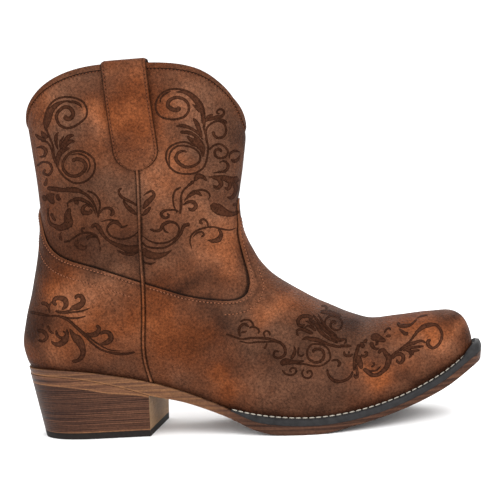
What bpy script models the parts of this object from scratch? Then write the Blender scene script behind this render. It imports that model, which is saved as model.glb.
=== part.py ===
"""Western ankle boot for the right foot, built from the pieces its maker would cut.

Sizes and tables are in millimetres, and MM turns them into metres when a mesh is made.
+X points to the toe, +Y to the inner side of the foot and +Z up. The floor is z = 0, and the
origin lies on it under the middle of the boot's box.
"""

import math

import bmesh
import bpy
import numpy as np
from mathutils import Vector
from mathutils.bvhtree import BVHTree

MM = 0.001

# Clearance and leather
GAP = 0.3  # between pieces that touch on the real boot
UPPER_WALL = 2.0  # shaft leather and lining together
OVERLAY = 1.2  # vamp and counter leather, sewn on over the upper
OVERLAY_LIFT = 1.3  # their lower edge stands this far above the feather line

# Sole
WELT_THICKNESS = 4.2
WELT_RAMP = (-16.0, 12.0)  # the welt's rabbet grows from nothing to full depth between these x values
WELT_END_X = -7.0  # the strip itself starts here, already skived thin
WELT_BITE = 12.0  # width of the strip, most of it under the upper
UNDERSIDE_INSET = 0.8  # the outsole's edge leans in by this much
INSOLE_THICKNESS = 2.5
INSOLE_CLEARANCE = 5.4  # from the feather line in to the insole's edge
SOLE_MARGINS = (6.0, 20.0)  # rows of faces along the edges of the sole's layers
FLAT_SPOT = (24.0, 44.0)  # the ball rests flat between these x values
SPINE_ENDS = (-107.0, 108.0)  # the sole's faces fan out from these points at heel and toe

# Heel
HEEL_INSET = 0.5  # the heel stands back from the sole's edge
HEEL_BREAST_X = (-58.0, -59.5)  # at the seat and on the floor
HEEL_BACK_RAKE = 6.8  # how far the back moves forward on the way down
HEEL_SIDE_TAPER = 0.07  # share of the width that is lost on the way down
SEAT_LIFT_THICKNESS = (1.2, 5.6)  # the wedge under the seat: at the breast and at the back
SEAT_LIFT_RAMP = 30.0  # it grows over this length behind the breast
TOP_LIFT_THICKNESS = 3.8

# Trim
SEAM_X = -55.0  # the side seam, where vamp and counter meet
PIPING_WIDTH = 3.0
PIPING_HEIGHT = 2.3
PIPING_GAP = 0.5  # the cord is stiff, so it stands off the wall a little more
PIPING_TOP_Z = 159.3
STRAP_WIDTH = 27.0
STRAP_THICKNESS = 1.5
STRAP_END_Z = (160.0, 186.0)  # the strap's lower ends, outside and inside the shaft
STRAP_STITCH_Z = 172.0  # below this line the strap lies against the shaft
STRAP_BOW = 1.2  # how far it bows out above that line
STRAP_END_ROUND = 12.0
STRAP_END_FLAT = 0.3  # share of the width left at the rounded end
BINDING_LEG = 3.4  # how far the collar's binding reaches down the wall
BINDING_THICKNESS = 0.9
BINDING_GAP = 0.8  # the collar twists at its dips, so the binding stands off a little more

# Half outlines of the outsole from above; a row for each place along the boot.
OUTLINE_COLUMNS = ("x", "outer", "inner")
OUTLINE = (
    (-134.0, 14.5, 14.5),
    (-124.0, 24.3, 24.3),
    (-108.0, 29.8, 29.8),
    (-85.0, 30.5, 30.3),
    (-57.0, 30.6, 29.0),
    (-30.0, 32.6, 26.8),
    (-8.0, 37.6, 30.2),
    (15.0, 44.4, 39.4),
    (38.0, 47.0, 46.0),
    (55.0, 45.6, 47.0),
    (80.0, 38.6, 41.8),
    (103.0, 30.0, 33.2),
    (122.0, 21.6, 24.4),
    (134.0, 15.4, 18.0),
    (138.8, 9.4, 12.2),
)
OUTLINE_HEEL = (-138.6, 0.0)
OUTLINE_TOE = (140.0, 1.4)

# The bottom from the side. The feather line is where the upper meets welt or outsole; welt_out is how
# far the sole's edge stands out from it.
BOTTOM_COLUMNS = ("x", "feather_z", "underside_z", "welt_out")
BOTTOM = (
    (-138.6, 43.4, 39.6, 0.6),
    (-122.0, 43.4, 39.2, 0.7),
    (-101.0, 41.8, 37.0, 0.8),
    (-78.0, 37.8, 31.6, 0.9),
    (-57.0, 33.0, 24.9, 1.0),
    (-37.0, 26.6, 20.2, 1.1),
    (-22.0, 20.8, 15.2, 1.3),
    (-8.0, 15.6, 9.8, 1.8),
    (2.0, 13.2, 5.0, 2.4),
    (13.0, 11.4, 1.4, 3.0),
    (24.0, 10.2, 0.0, 3.3),
    (34.0, 9.6, 0.0, 3.4),
    (44.0, 9.5, 0.0, 3.5),
    (62.0, 10.8, 2.8, 3.6),
    (82.0, 14.4, 7.0, 3.8),
    (102.0, 20.8, 12.9, 4.1),
    (121.0, 30.0, 21.0, 4.5),
    (134.0, 38.8, 29.4, 5.0),
    (140.0, 42.4, 33.2, 5.3),
)

# Sections of the upper, from the toe round to the collar. Each runs from its base on both sides up to
# the ridge of toe, instep and shaft front. Up to the heel the base lies on the feather line, along being
# its share of the way from toe to heel; then both sides share one base point on the back seam. outer
# and inner are the greatest half widths, widest is the share of the height at which they lie, a larger
# fullness squares the section above it and a larger back below it, and lift raises the sides over
# front and back.
SECTION_COLUMNS = (
    "along", "base_x", "base_z", "ridge_x", "ridge_z", "ridge_y",
    "outer", "inner", "widest", "fullness", "back", "lift",
)
SECTIONS = (
    (0.000, 0.0, 0.0, 133.0, 38.4, 1.4, 0.0, 0.0, 0.10, 2.2, 2.0, 0.0),
    (0.018, 0.0, 0.0, 133.0, 44.6, 1.4, 5.7, 5.7, 0.10, 2.2, 2.0, 0.0),
    (0.036, 0.0, 0.0, 131.9, 50.4, 1.4, 10.3, 10.3, 0.10, 2.3, 2.0, 0.0),
    (0.060, 0.0, 0.0, 129.4, 56.2, 1.4, 14.4, 14.4, 0.12, 2.4, 2.0, 0.0),
    (0.090, 0.0, 0.0, 124.6, 60.1, 1.4, 18.4, 18.4, 0.14, 2.5, 2.0, 0.0),
    (0.140, 0.0, 0.0, 111.0, 60.8, 1.4, 25.2, 25.2, 0.16, 2.4, 2.0, 0.0),
    (0.210, 0.0, 0.0, 91.0, 59.5, 1.4, 33.4, 33.4, 0.16, 2.2, 2.0, 0.0),
    (0.275, 0.0, 0.0, 73.6, 58.9, 1.4, 39.6, 39.6, 0.16, 2.0, 2.0, 0.0),
    (0.345, 0.0, 0.0, 57.0, 65.2, 1.6, 43.6, 42.6, 0.16, 1.9, 2.0, 0.0),
    (0.425, 0.0, 0.0, 41.0, 73.4, 1.8, 43.6, 40.4, 0.18, 1.85, 2.0, 0.0),
    (0.505, 0.0, 0.0, 27.0, 82.1, 1.8, 39.6, 33.6, 0.22, 1.85, 2.0, 0.0),
    (0.585, 0.0, 0.0, 16.8, 89.7, 1.6, 35.4, 30.6, 0.28, 1.85, 2.0, 0.0),
    (0.675, 0.0, 0.0, 9.9, 97.8, 1.2, 33.4, 31.2, 0.34, 1.9, 2.2, 0.0),
    (0.780, 0.0, 0.0, 5.2, 106.8, 0.8, 33.0, 32.0, 0.40, 1.95, 2.5, 0.0),
    (0.890, 0.0, 0.0, 1.9, 115.0, 0.4, 33.0, 32.6, 0.45, 2.0, 2.9, 0.0),
    (1.000, -136.5, 43.7, 0.4, 122.0, 0.0, 33.0, 32.8, 0.48, 2.0, 3.0, 0.0),
    (1.000, -139.1, 57.0, -0.1, 129.0, 0.0, 33.0, 33.0, 0.49, 2.0, 3.0, 0.0),
    (1.000, -136.1, 72.0, 0.0, 135.0, 0.0, 33.0, 33.0, 0.49, 2.0, 2.9, 0.0),
    (1.000, -129.6, 93.3, 1.9, 143.0, 0.0, 33.2, 33.2, 0.49, 2.0, 2.7, 2.0),
    (1.000, -123.4, 119.6, 4.0, 152.5, 0.0, 33.8, 33.8, 0.49, 2.0, 2.5, 9.0),
    (1.000, -122.7, 147.2, 6.1, 163.0, 0.0, 34.6, 34.6, 0.49, 2.0, 2.4, 19.0),
    (1.000, -124.2, 171.0, 7.9, 173.0, 0.0, 35.0, 35.0, 0.49, 2.0, 2.4, 29.0),
    (1.000, -125.6, 188.6, 8.0, 177.2, 0.0, 35.3, 35.3, 0.49, 2.0, 2.4, 34.0),
    (1.000, -125.9, 192.4, 8.2, 180.8, 0.0, 35.4, 35.4, 0.49, 2.0, 2.4, 35.2),
)
HEEL_ROW = 15  # the section whose base is the feather line's rearmost point
FEATHER_LENGTH = 300.0  # of one side, from toe to heel
NOTCH_ROUND = 0.16  # rounds the collar's dips at front and back
DIP_POWERS = (0.85, 1.0)  # below 1 the collar stays high before it dips, at the front and at the back
LEAST_SWELL = 1.005  # a section is at least this much wider than its base

# Rows of faces between sections
SPAN_COLUMNS = ("first", "last", "steps")
SPANS = ((0, 4, 7), (4, 13, 15), (13, HEEL_ROW, 9), (HEEL_ROW, 17, 5), (17, 22, 7), (22, 23, 1))
SIDE_STEPS = 10
SOLE_STEPS = 34
HEEL_STEPS = 10
PIPING_STEPS = 28
CURVE_STEPS = 600

# Upper edge of vamp and counter: its height round the leg, from the front to the back.
TOPLINE_COLUMNS = ("degrees", "z")
TOPLINE = (
    (0.0, 138.0), (2.5, 133.5), (6.0, 124.0), (12.0, 115.6), (17.2, 104.0), (21.7, 93.4), (24.5, 88.0),
    (28.0, 84.6), (32.5, 81.2), (37.0, 78.9), (42.0, 78.3), (49.0, 79.4), (56.0, 81.0), (64.0, 83.4),
    (74.0, 87.4), (90.0, 93.9), (113.0, 104.0), (134.0, 112.4), (154.0, 125.0), (170.0, 137.0), (180.0, 140.5),
)
TOPLINE_CENTRE_X = -58.0
TOPLINE_REACH = (64.0, 34.0)  # half length and half width of the oval on which the degrees are measured

COLOURS = {
    "leather": ((0.225, 0.083, 0.032), 0.52),
    "strap": ((0.235, 0.088, 0.034), 0.52),
    "binding": ((0.12, 0.047, 0.022), 0.5),
    "welt": ((0.022, 0.021, 0.022), 0.55),
    "sole": ((0.26, 0.115, 0.05), 0.5),
    "heel": ((0.105, 0.045, 0.027), 0.48),
    "rubber": ((0.02, 0.02, 0.021), 0.7),
    "lining": ((0.33, 0.2, 0.11), 0.75),
}


def column(table, columns, name):
    """One named column of a table."""
    return np.array([row[columns.index(name)] for row in table], float)


def smooth(at, values, query):
    """Cubic curve through values at the places at, read at query."""
    slope = np.gradient(values, at)
    i = np.clip(np.searchsorted(at, query, side="right") - 1, 0, len(at) - 2)
    width = at[i + 1] - at[i]
    t = np.clip((query - at[i]) / width, 0.0, 1.0)
    start = (1 + 2 * t) * (1 - t) ** 2 * values[i] + t * (1 - t) ** 2 * width * slope[i]
    end = t * t * (3 - 2 * t) * values[i + 1] + t * t * (t - 1) * width * slope[i + 1]
    return start + end


def eased(low, high, x):
    """0 below low, 1 above high, with a soft rise between."""
    t = np.clip((x - low) / (high - low), 0.0, 1.0)
    return t * t * (3 - 2 * t)


def bottom(name, x):
    """A column of the bottom's side view at any x."""
    at = column(BOTTOM, BOTTOM_COLUMNS, "x")
    return smooth(at, column(BOTTOM, BOTTOM_COLUMNS, name), x)


def feather_z(x):
    return bottom("feather_z", x)


def underside_z(x):
    flat = (x >= FLAT_SPOT[0]) & (x <= FLAT_SPOT[1])
    return np.where(flat, 0.0, np.maximum(bottom("underside_z", x), 0.0))


def rabbet_depth(x):
    """Depth below the feather line at which the welt lies on the outsole."""
    return WELT_THICKNESS * eased(*WELT_RAMP, x)


def outline_half(name):
    """Points of one side of the outsole's outline, from the toe to the heel."""
    x = column(OUTLINE, OUTLINE_COLUMNS, "x")
    outer = np.stack([x, -column(OUTLINE, OUTLINE_COLUMNS, "outer")], 1)
    inner = np.stack([x, column(OUTLINE, OUTLINE_COLUMNS, "inner")], 1)
    near, far = (outer, inner) if name == "outer" else (inner, outer)
    # Two points of the other side carry the curve round each end.
    points = np.concatenate([far[-2:], [OUTLINE_TOE], near[::-1], [OUTLINE_HEEL], far[:2]])
    steps = np.linalg.norm(np.diff(points, axis=0), axis=1) ** 0.5
    at = np.concatenate([[0.0], np.cumsum(steps)])
    query = np.linspace(at[2], at[-3], CURVE_STEPS)
    return np.stack([smooth(at, points[:, k], query) for k in (0, 1)], 1)


def spine(x):
    """Point of the sole's middle line nearest to x."""
    share = (x - OUTLINE_HEEL[0]) / (OUTLINE_TOE[0] - OUTLINE_HEEL[0])
    return np.stack([np.clip(x, *SPINE_ENDS), OUTLINE_TOE[1] * share], -1)


def moved_in(points, inset):
    """Points of the edge moved towards the sole's middle line."""
    towards = spine(points[:, 0]) - points
    towards /= np.linalg.norm(towards, axis=1)[:, None]
    return points + towards * np.reshape(inset, (-1, 1))


def sole_edge(name, inset_of_x, shares):
    """One side of the sole's edge, moved in, at shares of its length from the toe."""
    line = outline_half(name)
    line = moved_in(line, inset_of_x(line[:, 0]))
    run = np.concatenate([[0.0], np.cumsum(np.linalg.norm(np.diff(line, axis=0), axis=1))])
    return np.stack([np.interp(shares * run[-1], run, line[:, k]) for k in (0, 1)], 1)


def upper_inset(x):
    """How far the upper's own base lies inside the sole's edge."""
    return bottom("welt_out", x) + OVERLAY + GAP


def section_places():
    """Place of each section of the table on one scale along the upper."""
    names = SECTION_COLUMNS
    ridge = np.stack([column(SECTIONS, names, "ridge_x"), column(SECTIONS, names, "ridge_z")], 1)
    ridge_step = np.linalg.norm(np.diff(ridge, axis=0), axis=1)
    base_step = np.diff(column(SECTIONS, names, "along")) * FEATHER_LENGTH
    base_step[HEEL_ROW:] = np.diff(column(SECTIONS, names, "base_z"))[HEEL_ROW:]
    return np.concatenate([[0.0], np.cumsum((ridge_step + base_step) / 2)])


def upper_grid(spans, side_steps):
    """Outer face of the upper, a row of points for each section: outer base, ridge, inner base.

    Also gives the number of the first row whose two bases are one point.
    """
    at = section_places()
    query = np.concatenate([[0.0]] + [np.linspace(at[a], at[b], steps + 1)[1:] for a, b, steps in spans])
    table = {name: column(SECTIONS, SECTION_COLUMNS, name) for name in SECTION_COLUMNS}
    value = {name: smooth(at, table[name], query) for name in SECTION_COLUMNS[3:]}
    along = np.clip(smooth(at, table["along"], query), 0.0, 1.0)
    heel = int(np.argmin(np.abs(query - at[HEEL_ROW])))
    closed = np.arange(len(query)) >= heel
    along[closed] = 1.0
    back = np.maximum(query, at[HEEL_ROW])
    seam_x = smooth(at[HEEL_ROW:], table["base_x"][HEEL_ROW:], back)
    seam_z = smooth(at[HEEL_ROW:], table["base_z"][HEEL_ROW:], back)
    rows = np.zeros((len(query), 2 * side_steps + 1, 3))
    for name, side, order in (("outer", -1.0, 1), ("inner", 1.0, -1)):
        base = sole_edge(name, upper_inset, along)
        base_x = np.where(closed, seam_x, base[:, 0])
        base_z = np.where(closed, seam_z, feather_z(base[:, 0]) + GAP)
        base_half = np.where(closed, 0.0, np.abs(base[:, 1] - value["ridge_y"]))
        half = np.maximum(value[name], base_half * LEAST_SWELL)
        low = np.arccos(np.clip(base_half / np.maximum(half, GAP), 0.0, 1.0))
        for j in range(side_steps + 1):
            angle = (math.pi / 2 + low) * j / side_steps - low
            above = np.sin(np.maximum(angle, 0.0)) ** (2.0 / value["fullness"])
            below = np.sin(np.maximum(-angle, 0.0)) / np.maximum(np.sin(low), 1e-6)
            below = below ** (2.0 / value["back"])
            share = value["widest"] * (1 - below) + (1 - value["widest"]) * above
            rise = np.hypot(np.cos(angle), NOTCH_ROUND) - NOTCH_ROUND
            rise /= math.hypot(1.0, NOTCH_ROUND) - NOTCH_ROUND
            rise = np.maximum(rise, 0.0) ** np.where(angle > 0, *DIP_POWERS)
            # A lifted section is level along its sides and slopes only near front and back.
            slope = 1 - rise * value["lift"] / table["lift"].max()
            height = value["widest"] + (share - value["widest"]) * slope
            row = rows[:, ::order][:, j]
            row[:, 0] = base_x + (value["ridge_x"] - base_x) * share
            row[:, 1] = value["ridge_y"] + side * half * np.cos(angle)
            row[:, 2] = base_z + (value["ridge_z"] - base_z) * height + value["lift"] * rise
    rows[0] = rows[0, 0]
    return rows, heel


def grid_normals(rows, heel):
    """Outward unit normals at the points of the upper's grid, from the faces that meet there."""
    faces = np.cross(rows[1:, 1:] - rows[:-1, :-1], rows[1:, :-1] - rows[:-1, 1:])
    normals = np.zeros_like(rows)
    for i in (slice(0, -1), slice(1, None)):
        for j in (slice(0, -1), slice(1, None)):
            normals[i, j] += faces
    normals[0] = normals[0].sum(axis=0)
    seam = normals[heel:, 0] + normals[heel:, -1]
    normals[heel:, 0] = seam
    normals[heel:, -1] = seam
    return normals / np.linalg.norm(normals, axis=2)[:, :, None]


def boot_parts():
    """The collection that holds the boot's pieces."""
    found = bpy.data.collections.get("western_ankle_boot")
    if found is None:
        found = bpy.data.collections.new("western_ankle_boot")
        bpy.context.scene.collection.children.link(found)
    return found


def material(name, colour):
    rgb, roughness = COLOURS[colour]
    made = bpy.data.materials.new(name)
    made.use_nodes = True
    shader = made.node_tree.nodes["Principled BSDF"]
    shader.inputs["Base Color"].default_value = (*rgb, 1.0)
    shader.inputs["Roughness"].default_value = roughness
    return made


def new_object(name, bm, colour):
    """A named piece in metres, with its own material, from a bmesh in millimetres."""
    bmesh.ops.scale(bm, verts=bm.verts, vec=(MM, MM, MM))
    mesh = bpy.data.meshes.new(name)
    bm.to_mesh(mesh)
    bm.free()
    mesh.materials.append(material(name, colour))
    mesh.shade_smooth()
    mesh.set_sharp_from_angle(angle=math.radians(40.0))
    obj = bpy.data.objects.new(name, mesh)
    boot_parts().objects.link(obj)
    return obj


def grid_verts(bm, rows):
    return [[bm.verts.new(point) for point in row] for row in rows]


def grid_faces(bm, verts):
    """Triangles between rows of points, mirrored about the middle column."""
    for a, b in zip(verts, verts[1:]):
        for j in range(len(a) - 1):
            if 2 * j < len(a) - 1:
                halves = (a[j], a[j + 1], b[j + 1]), (a[j], b[j + 1], b[j])
            else:
                halves = (a[j], a[j + 1], b[j]), (a[j + 1], b[j + 1], b[j])
            for corners in halves:
                bm.faces.new(corners)


def welded(bm):
    """Joins points that coincide and drops the faces this leaves without area."""
    bmesh.ops.remove_doubles(bm, verts=bm.verts, dist=0.01)
    bmesh.ops.dissolve_degenerate(bm, edges=bm.edges, dist=0.005)
    return bm


def outward(bm):
    bmesh.ops.recalc_face_normals(welded(bm), faces=bm.faces)
    return bm


def solid_between(over, under, rim_rows=None, end_rims=(0, -1)):
    """Closed body between two grids.

    rim_rows ends the walls along the first and last columns early; end_rims has the rows that get a
    wall of their own.
    """
    bm = bmesh.new()
    a, b = grid_verts(bm, over), grid_verts(bm, under)
    grid_faces(bm, a)
    grid_faces(bm, b)
    for j in (0, -1):
        wall = slice(0, rim_rows)
        grid_faces(bm, [[row[j] for row in a[wall]], [row[j] for row in b[wall]]])
    for i in end_rims:
        grid_faces(bm, [a[i], b[i]])
    return outward(bm)


def swept_solid(loops, closed=False):
    """Closed body through section loops, capped at both ends or joined into a ring."""
    bm = bmesh.new()
    rings = grid_verts(bm, loops)
    if not closed:
        bm.faces.new(rings[0])
        bm.faces.new(rings[-1])
    else:
        rings.append(rings[0])
    grid_faces(bm, [ring + ring[:1] for ring in rings])
    return outward(bm)


def topline_z(point):
    """Height of the upper edge of vamp and counter where the point lies round the leg."""
    ahead = (point.x - TOPLINE_CENTRE_X) / TOPLINE_REACH[0]
    out = abs(point.y) / TOPLINE_REACH[1]
    degrees = math.degrees(math.atan2(out, ahead))
    heights = column(TOPLINE, TOPLINE_COLUMNS, "z")
    return float(smooth(column(TOPLINE, TOPLINE_COLUMNS, "degrees"), heights, degrees))


def keep_where(bm, field):
    """Cuts a surface along field = 0 and keeps what lies on the positive side."""
    value = {vert: field(vert.co) for vert in bm.verts}
    cut = []
    for edge in list(bm.edges):
        a, b = edge.verts
        if value[a] * value[b] < 0:
            made = bmesh.utils.edge_split(edge, a, value[a] / (value[a] - value[b]))[1]
            value[made] = 0.0
            cut.append(made)
    bmesh.ops.connect_verts(bm, verts=cut)
    outside = [face for face in bm.faces if sum(value[vert] for vert in face.verts) < 0]
    bmesh.ops.delete(bm, geom=outside, context="FACES")


def lining_grid(rows, normals, heel):
    """Inner face of the upper, level with the outer face along the feather line."""
    lining = rows - normals * UPPER_WALL
    for j in (0, -1):
        lining[: heel + 1, j, 2] = feather_z(lining[: heel + 1, j, 0]) + GAP
    lining[0] = lining[0, 0]
    return lining


def build_upper(rows, lining, heel):
    return new_object("upper", solid_between(rows, lining, heel + 1, end_rims=(-1,)), "leather")


def build_overlay(name, rows, normals, side):
    """Vamp (side 1) or counter (side -1): a skin over the upper, cut along the topline and the piping."""
    bm = bmesh.new()
    grid_faces(bm, grid_verts(bm, rows + normals * GAP))
    welded(bm)
    keep_where(bm, lambda point: point.z - float(feather_z(point.x)) - OVERLAY_LIFT)
    keep_where(bm, lambda point: topline_z(point) - point.z)
    keep_where(bm, lambda point: side * (point.x - SEAM_X) - PIPING_WIDTH / 2 - GAP)
    obj = new_object(name, bm, "leather")
    leather = obj.modifiers.new("leather", "SOLIDIFY")
    leather.thickness = OVERLAY * MM
    leather.offset = 1.0
    return obj


def tree_of(obj):
    """Search tree of a finished piece, in millimetres."""
    points = [vert.co / MM for vert in obj.data.vertices]
    return BVHTree.FromPolygons(points, [tuple(face.vertices) for face in obj.data.polygons])


def wall_at(tree, x, z, side):
    """Distances of the shaft wall's outer and inner faces from the middle plane."""
    outwards = Vector((0.0, side, 0.0))
    outer = tree.ray_cast(Vector((x, 0.0, z)) + outwards * 200.0, -outwards)[0]
    inner = tree.ray_cast(Vector((x, 0.0, z)), outwards)[0]
    return abs(outer.y), abs(inner.y)


def build_piping(name, tree, side):
    """Cord in the side seam, from the pull strap down to the sole."""
    half, shoulder = PIPING_WIDTH / 2, 0.55 * PIPING_HEIGHT
    shape = (
        (-half, PIPING_GAP), (-half, shoulder), (-half / 2, PIPING_HEIGHT),
        (half / 2, PIPING_HEIGHT), (half, shoulder), (half, PIPING_GAP),
    )
    low = float(feather_z(SEAM_X)) + OVERLAY_LIFT
    loops = []
    for z in np.linspace(PIPING_TOP_Z, low, PIPING_STEPS):
        wall = [wall_at(tree, SEAM_X + across, z, side)[0] for across, _ in shape]
        loops.append([(SEAM_X + across, side * (y + out), z) for (across, out), y in zip(shape, wall)])
    return new_object(name, swept_solid(loops), "leather")


def strap_half_width(z):
    """Half width of the strap's outer leg, which ends in a round."""
    above_end = min((z - STRAP_END_Z[0]) / STRAP_END_ROUND, 1.0)
    return STRAP_WIDTH / 2 * max(math.sqrt(1 - (1 - above_end) ** 2), STRAP_END_FLAT)


def strap_rows(tree, side, turn_z):
    """Rows of points across the strap, on its near and far faces, from the outer to the inner end."""
    over = BINDING_GAP + BINDING_THICKNESS + 2 * GAP
    round_z = STRAP_END_Z[0] + STRAP_END_ROUND * np.array([0.0, 0.04, 0.15, 0.4])
    outer_z = np.concatenate([round_z, np.linspace(STRAP_STITCH_Z, turn_z, 8)])
    inner_z = np.linspace(turn_z, STRAP_END_Z[1], 5)
    near, far = [], []

    def wall(x, z):
        return wall_at(tree, x, min(z, turn_z - BINDING_LEG), side)

    def add(half, place):
        across = SEAM_X + np.linspace(-half, half, 5)
        near.append([(x, *place(x, 0.0)) for x in across])
        far.append([(x, *place(x, STRAP_THICKNESS)) for x in across])

    for z in outer_z:
        free = eased(STRAP_STITCH_Z, turn_z, z)
        lay = GAP + (over - GAP) * free + STRAP_BOW * math.sin(math.pi * free)
        add(strap_half_width(z), lambda x, out: (side * (wall(x, z)[0] + lay + out), z))
    for angle in np.linspace(0.0, math.pi, 9)[1:-1]:

        def turned(x, out):
            outer, inner = wall(x, turn_z)
            reach = (outer - inner) / 2 + over + out
            middle = (outer + inner) / 2 + reach * math.cos(angle)
            return side * middle, turn_z + reach * math.sin(angle)

        add(STRAP_WIDTH / 2, turned)
    for z in inner_z:
        lay = GAP + (over - GAP) * eased(STRAP_END_Z[1], turn_z - 2 * BINDING_LEG, z)
        add(STRAP_WIDTH / 2, lambda x, out: (side * (wall(x, z)[1] - lay - out), z))
    return near, far


def build_strap(name, tree, collar_top, side):
    """Pull strap: sewn low on the shaft, free above, folded over the collar and sewn inside."""
    turn_z = collar_top + GAP - UPPER_WALL / 2
    near, far = strap_rows(tree, side, turn_z)
    return new_object(name, solid_between(near, far), "strap")


def build_binding(rows, lining, normals):
    """Folded strip over the collar's edge, with a leg on each face of the wall."""
    step = rows[-2] - rows[-1]
    length = np.linalg.norm(step, axis=1)[:, None]
    up = -step / length

    def place(face, out, leg):
        share = leg / length
        point = face[-1] + (face[-2] - face[-1]) * share
        return point + (normals[-1] + (normals[-2] - normals[-1]) * share) * out

    near, far = BINDING_GAP, BINDING_GAP + BINDING_THICKNESS
    corners = (
        place(rows, near, BINDING_LEG), place(rows, far, BINDING_LEG), place(rows, far, 0.0),
        place(rows, 0.0, 0.0) + up * far, place(lining, 0.0, 0.0) + up * far,
        place(lining, -far, 0.0), place(lining, -far, BINDING_LEG), place(lining, -near, BINDING_LEG),
        place(lining, -near, 0.0) + up * near, place(rows, near, 0.0) + up * near,
    )
    loops = np.stack(corners, 1)[:-1]
    return new_object("collar_binding", swept_solid(loops, closed=True), "binding")


def sole_shares(steps):
    """Shares of the way from toe to heel, closer together where the outline turns."""
    even = np.linspace(0.0, 1.0, steps + 1)
    return even - 0.06 * np.sin(2 * math.pi * even)


def sole_grid(margins, first_inset, heights, shares):
    """Rows across the sole: edge, a point at each margin, middle line and the same on the inner side.

    first_inset(x) moves the whole outline in, and heights has a function of x for each column up to
    the middle line.
    """
    outer, inner = (sole_edge(name, first_inset, shares) for name in ("outer", "inner"))
    middle = spine((outer[:, 0] + inner[:, 0]) / 2)
    flat = [outer] + [moved_in(outer, margin) for margin in margins] + [middle]
    flat += [moved_in(inner, margin) for margin in margins[::-1]] + [inner]
    heights = list(heights) + list(heights[-2::-1])
    columns = [np.column_stack([xy, height(xy[:, 0])]) for xy, height in zip(flat, heights)]
    return np.stack(columns, 1)


def build_outsole():
    """Leather sole with a rabbet for the welt along the forefoot's edge."""
    shares = sole_shares(SOLE_STEPS)
    margins = (SOLE_MARGINS[0], WELT_BITE + GAP, WELT_BITE + 2 * GAP, SOLE_MARGINS[1])

    def rabbet(x):
        return feather_z(x) - rabbet_depth(x)

    top = sole_grid(margins, np.zeros_like, (rabbet,) * 3 + (feather_z,) * 3, shares)
    under = sole_grid(margins, lambda x: np.full_like(x, UNDERSIDE_INSET), (underside_z,) * 6, shares)
    return new_object("outsole", solid_between(top, under, end_rims=()), "sole")


def build_insole():
    shares = sole_shares(SOLE_STEPS)

    def inset(x):
        return bottom("welt_out", x) + INSOLE_CLEARANCE

    def low(x):
        return feather_z(x) + GAP

    def high(x):
        return feather_z(x) + GAP + INSOLE_THICKNESS

    top = sole_grid(SOLE_MARGINS, inset, (high,) * 4, shares)
    under = sole_grid(SOLE_MARGINS, inset, (low,) * 4, shares)
    return new_object("insole", solid_between(top, under, end_rims=()), "lining")


def build_welt():
    """Strip between upper and outsole, from waist to waist round the toe."""
    sides = [sole_edge(name, np.zeros_like, sole_shares(SOLE_STEPS)) for name in ("outer", "inner")]
    outer, inner = (line[line[:, 0] > WELT_END_X] for line in sides)
    edge = np.concatenate([outer[::-1], inner[1:]])
    middle, bite = moved_in(edge, SOLE_MARGINS[0]), moved_in(edge, WELT_BITE)

    def high(x):
        return feather_z(x)

    def low(x):
        return feather_z(x) - rabbet_depth(x) + GAP

    corners = ((edge, high), (middle, high), (bite, high), (bite, low), (middle, low), (edge, low))
    loops = np.stack([np.column_stack([xy, height(xy[:, 0])]) for xy, height in corners], 1)
    return new_object("welt", swept_solid(loops), "welt")


def heel_grid(height, drop):
    """Rows across the heel from breast to back. drop is the share of the way from the seat to the floor."""
    line = sole_edge("outer", lambda x: np.full_like(x, HEEL_INSET), np.linspace(0.0, 1.0, CURVE_STEPS))
    start = np.argmax(line[:, 0] < HEEL_BREAST_X[0]) / (CURVE_STEPS - 1)
    shares = np.linspace(start, 1.0, HEEL_STEPS + 1)
    outer = sole_edge("outer", lambda x: np.full_like(x, HEEL_INSET), shares)
    x = outer[:, 0]
    depth = (x - x[0]) / (x[-1] - x[0])
    breast = HEEL_BREAST_X[0] + (HEEL_BREAST_X[1] - HEEL_BREAST_X[0]) * drop
    back = x[-1] + HEEL_BACK_RAKE * drop
    x = breast + (back - breast) * depth
    half = np.abs(outer[:, 1]) * (1 - HEEL_SIDE_TAPER * drop)
    across = np.linspace(-1.0, 1.0, 5)
    return np.stack([np.column_stack([x, half * t, height(x)]) for t in across], 1)


def build_heel():
    """Wedge under the seat, stacked block and top lift."""

    def seat(x):
        return underside_z(x) - GAP

    def wedge_under(x):
        behind = HEEL_BREAST_X[0] - x
        thin, thick = SEAT_LIFT_THICKNESS
        return seat(x) - thin - (thick - thin) * eased(0.0, SEAT_LIFT_RAMP, behind)

    def block_top(x):
        return wedge_under(x) - GAP

    def level(z):
        return lambda x: np.full_like(x, z)

    seat_height = float(seat(np.array(OUTLINE_HEEL[0])))
    wedge_drop = SEAT_LIFT_THICKNESS[1] / seat_height
    lift_drop = 1 - TOP_LIFT_THICKNESS / seat_height
    pieces = (
        ("heel_seat_lift", "heel", (seat, 0.0), (wedge_under, wedge_drop)),
        ("heel_block", "heel", (block_top, wedge_drop), (level(TOP_LIFT_THICKNESS + GAP), lift_drop)),
        ("heel_top_lift", "rubber", (level(TOP_LIFT_THICKNESS), lift_drop), (level(0.0), 1.0)),
    )
    for name, colour, over, under in pieces:
        new_object(name, solid_between(heel_grid(*over), heel_grid(*under)), colour)


def main():
    for obj in list(bpy.data.objects):
        bpy.data.objects.remove(obj)
    rows, heel = upper_grid(SPANS, SIDE_STEPS)
    normals = grid_normals(rows, heel)
    lining = lining_grid(rows, normals, heel)
    upper = build_upper(rows, lining, heel)
    tree = tree_of(upper)
    build_overlay("vamp", rows, normals, 1.0)
    build_overlay("counter", rows, normals, -1.0)
    for name, side in (("outer", -1.0), ("inner", 1.0)):
        build_piping("side_piping_" + name, tree, side)
        build_strap("pull_strap_" + name, tree, rows[-1, :, 2].max(), side)
    build_binding(rows, lining, normals)
    build_outsole()
    build_welt()
    build_insole()
    build_heel()


main()
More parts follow.
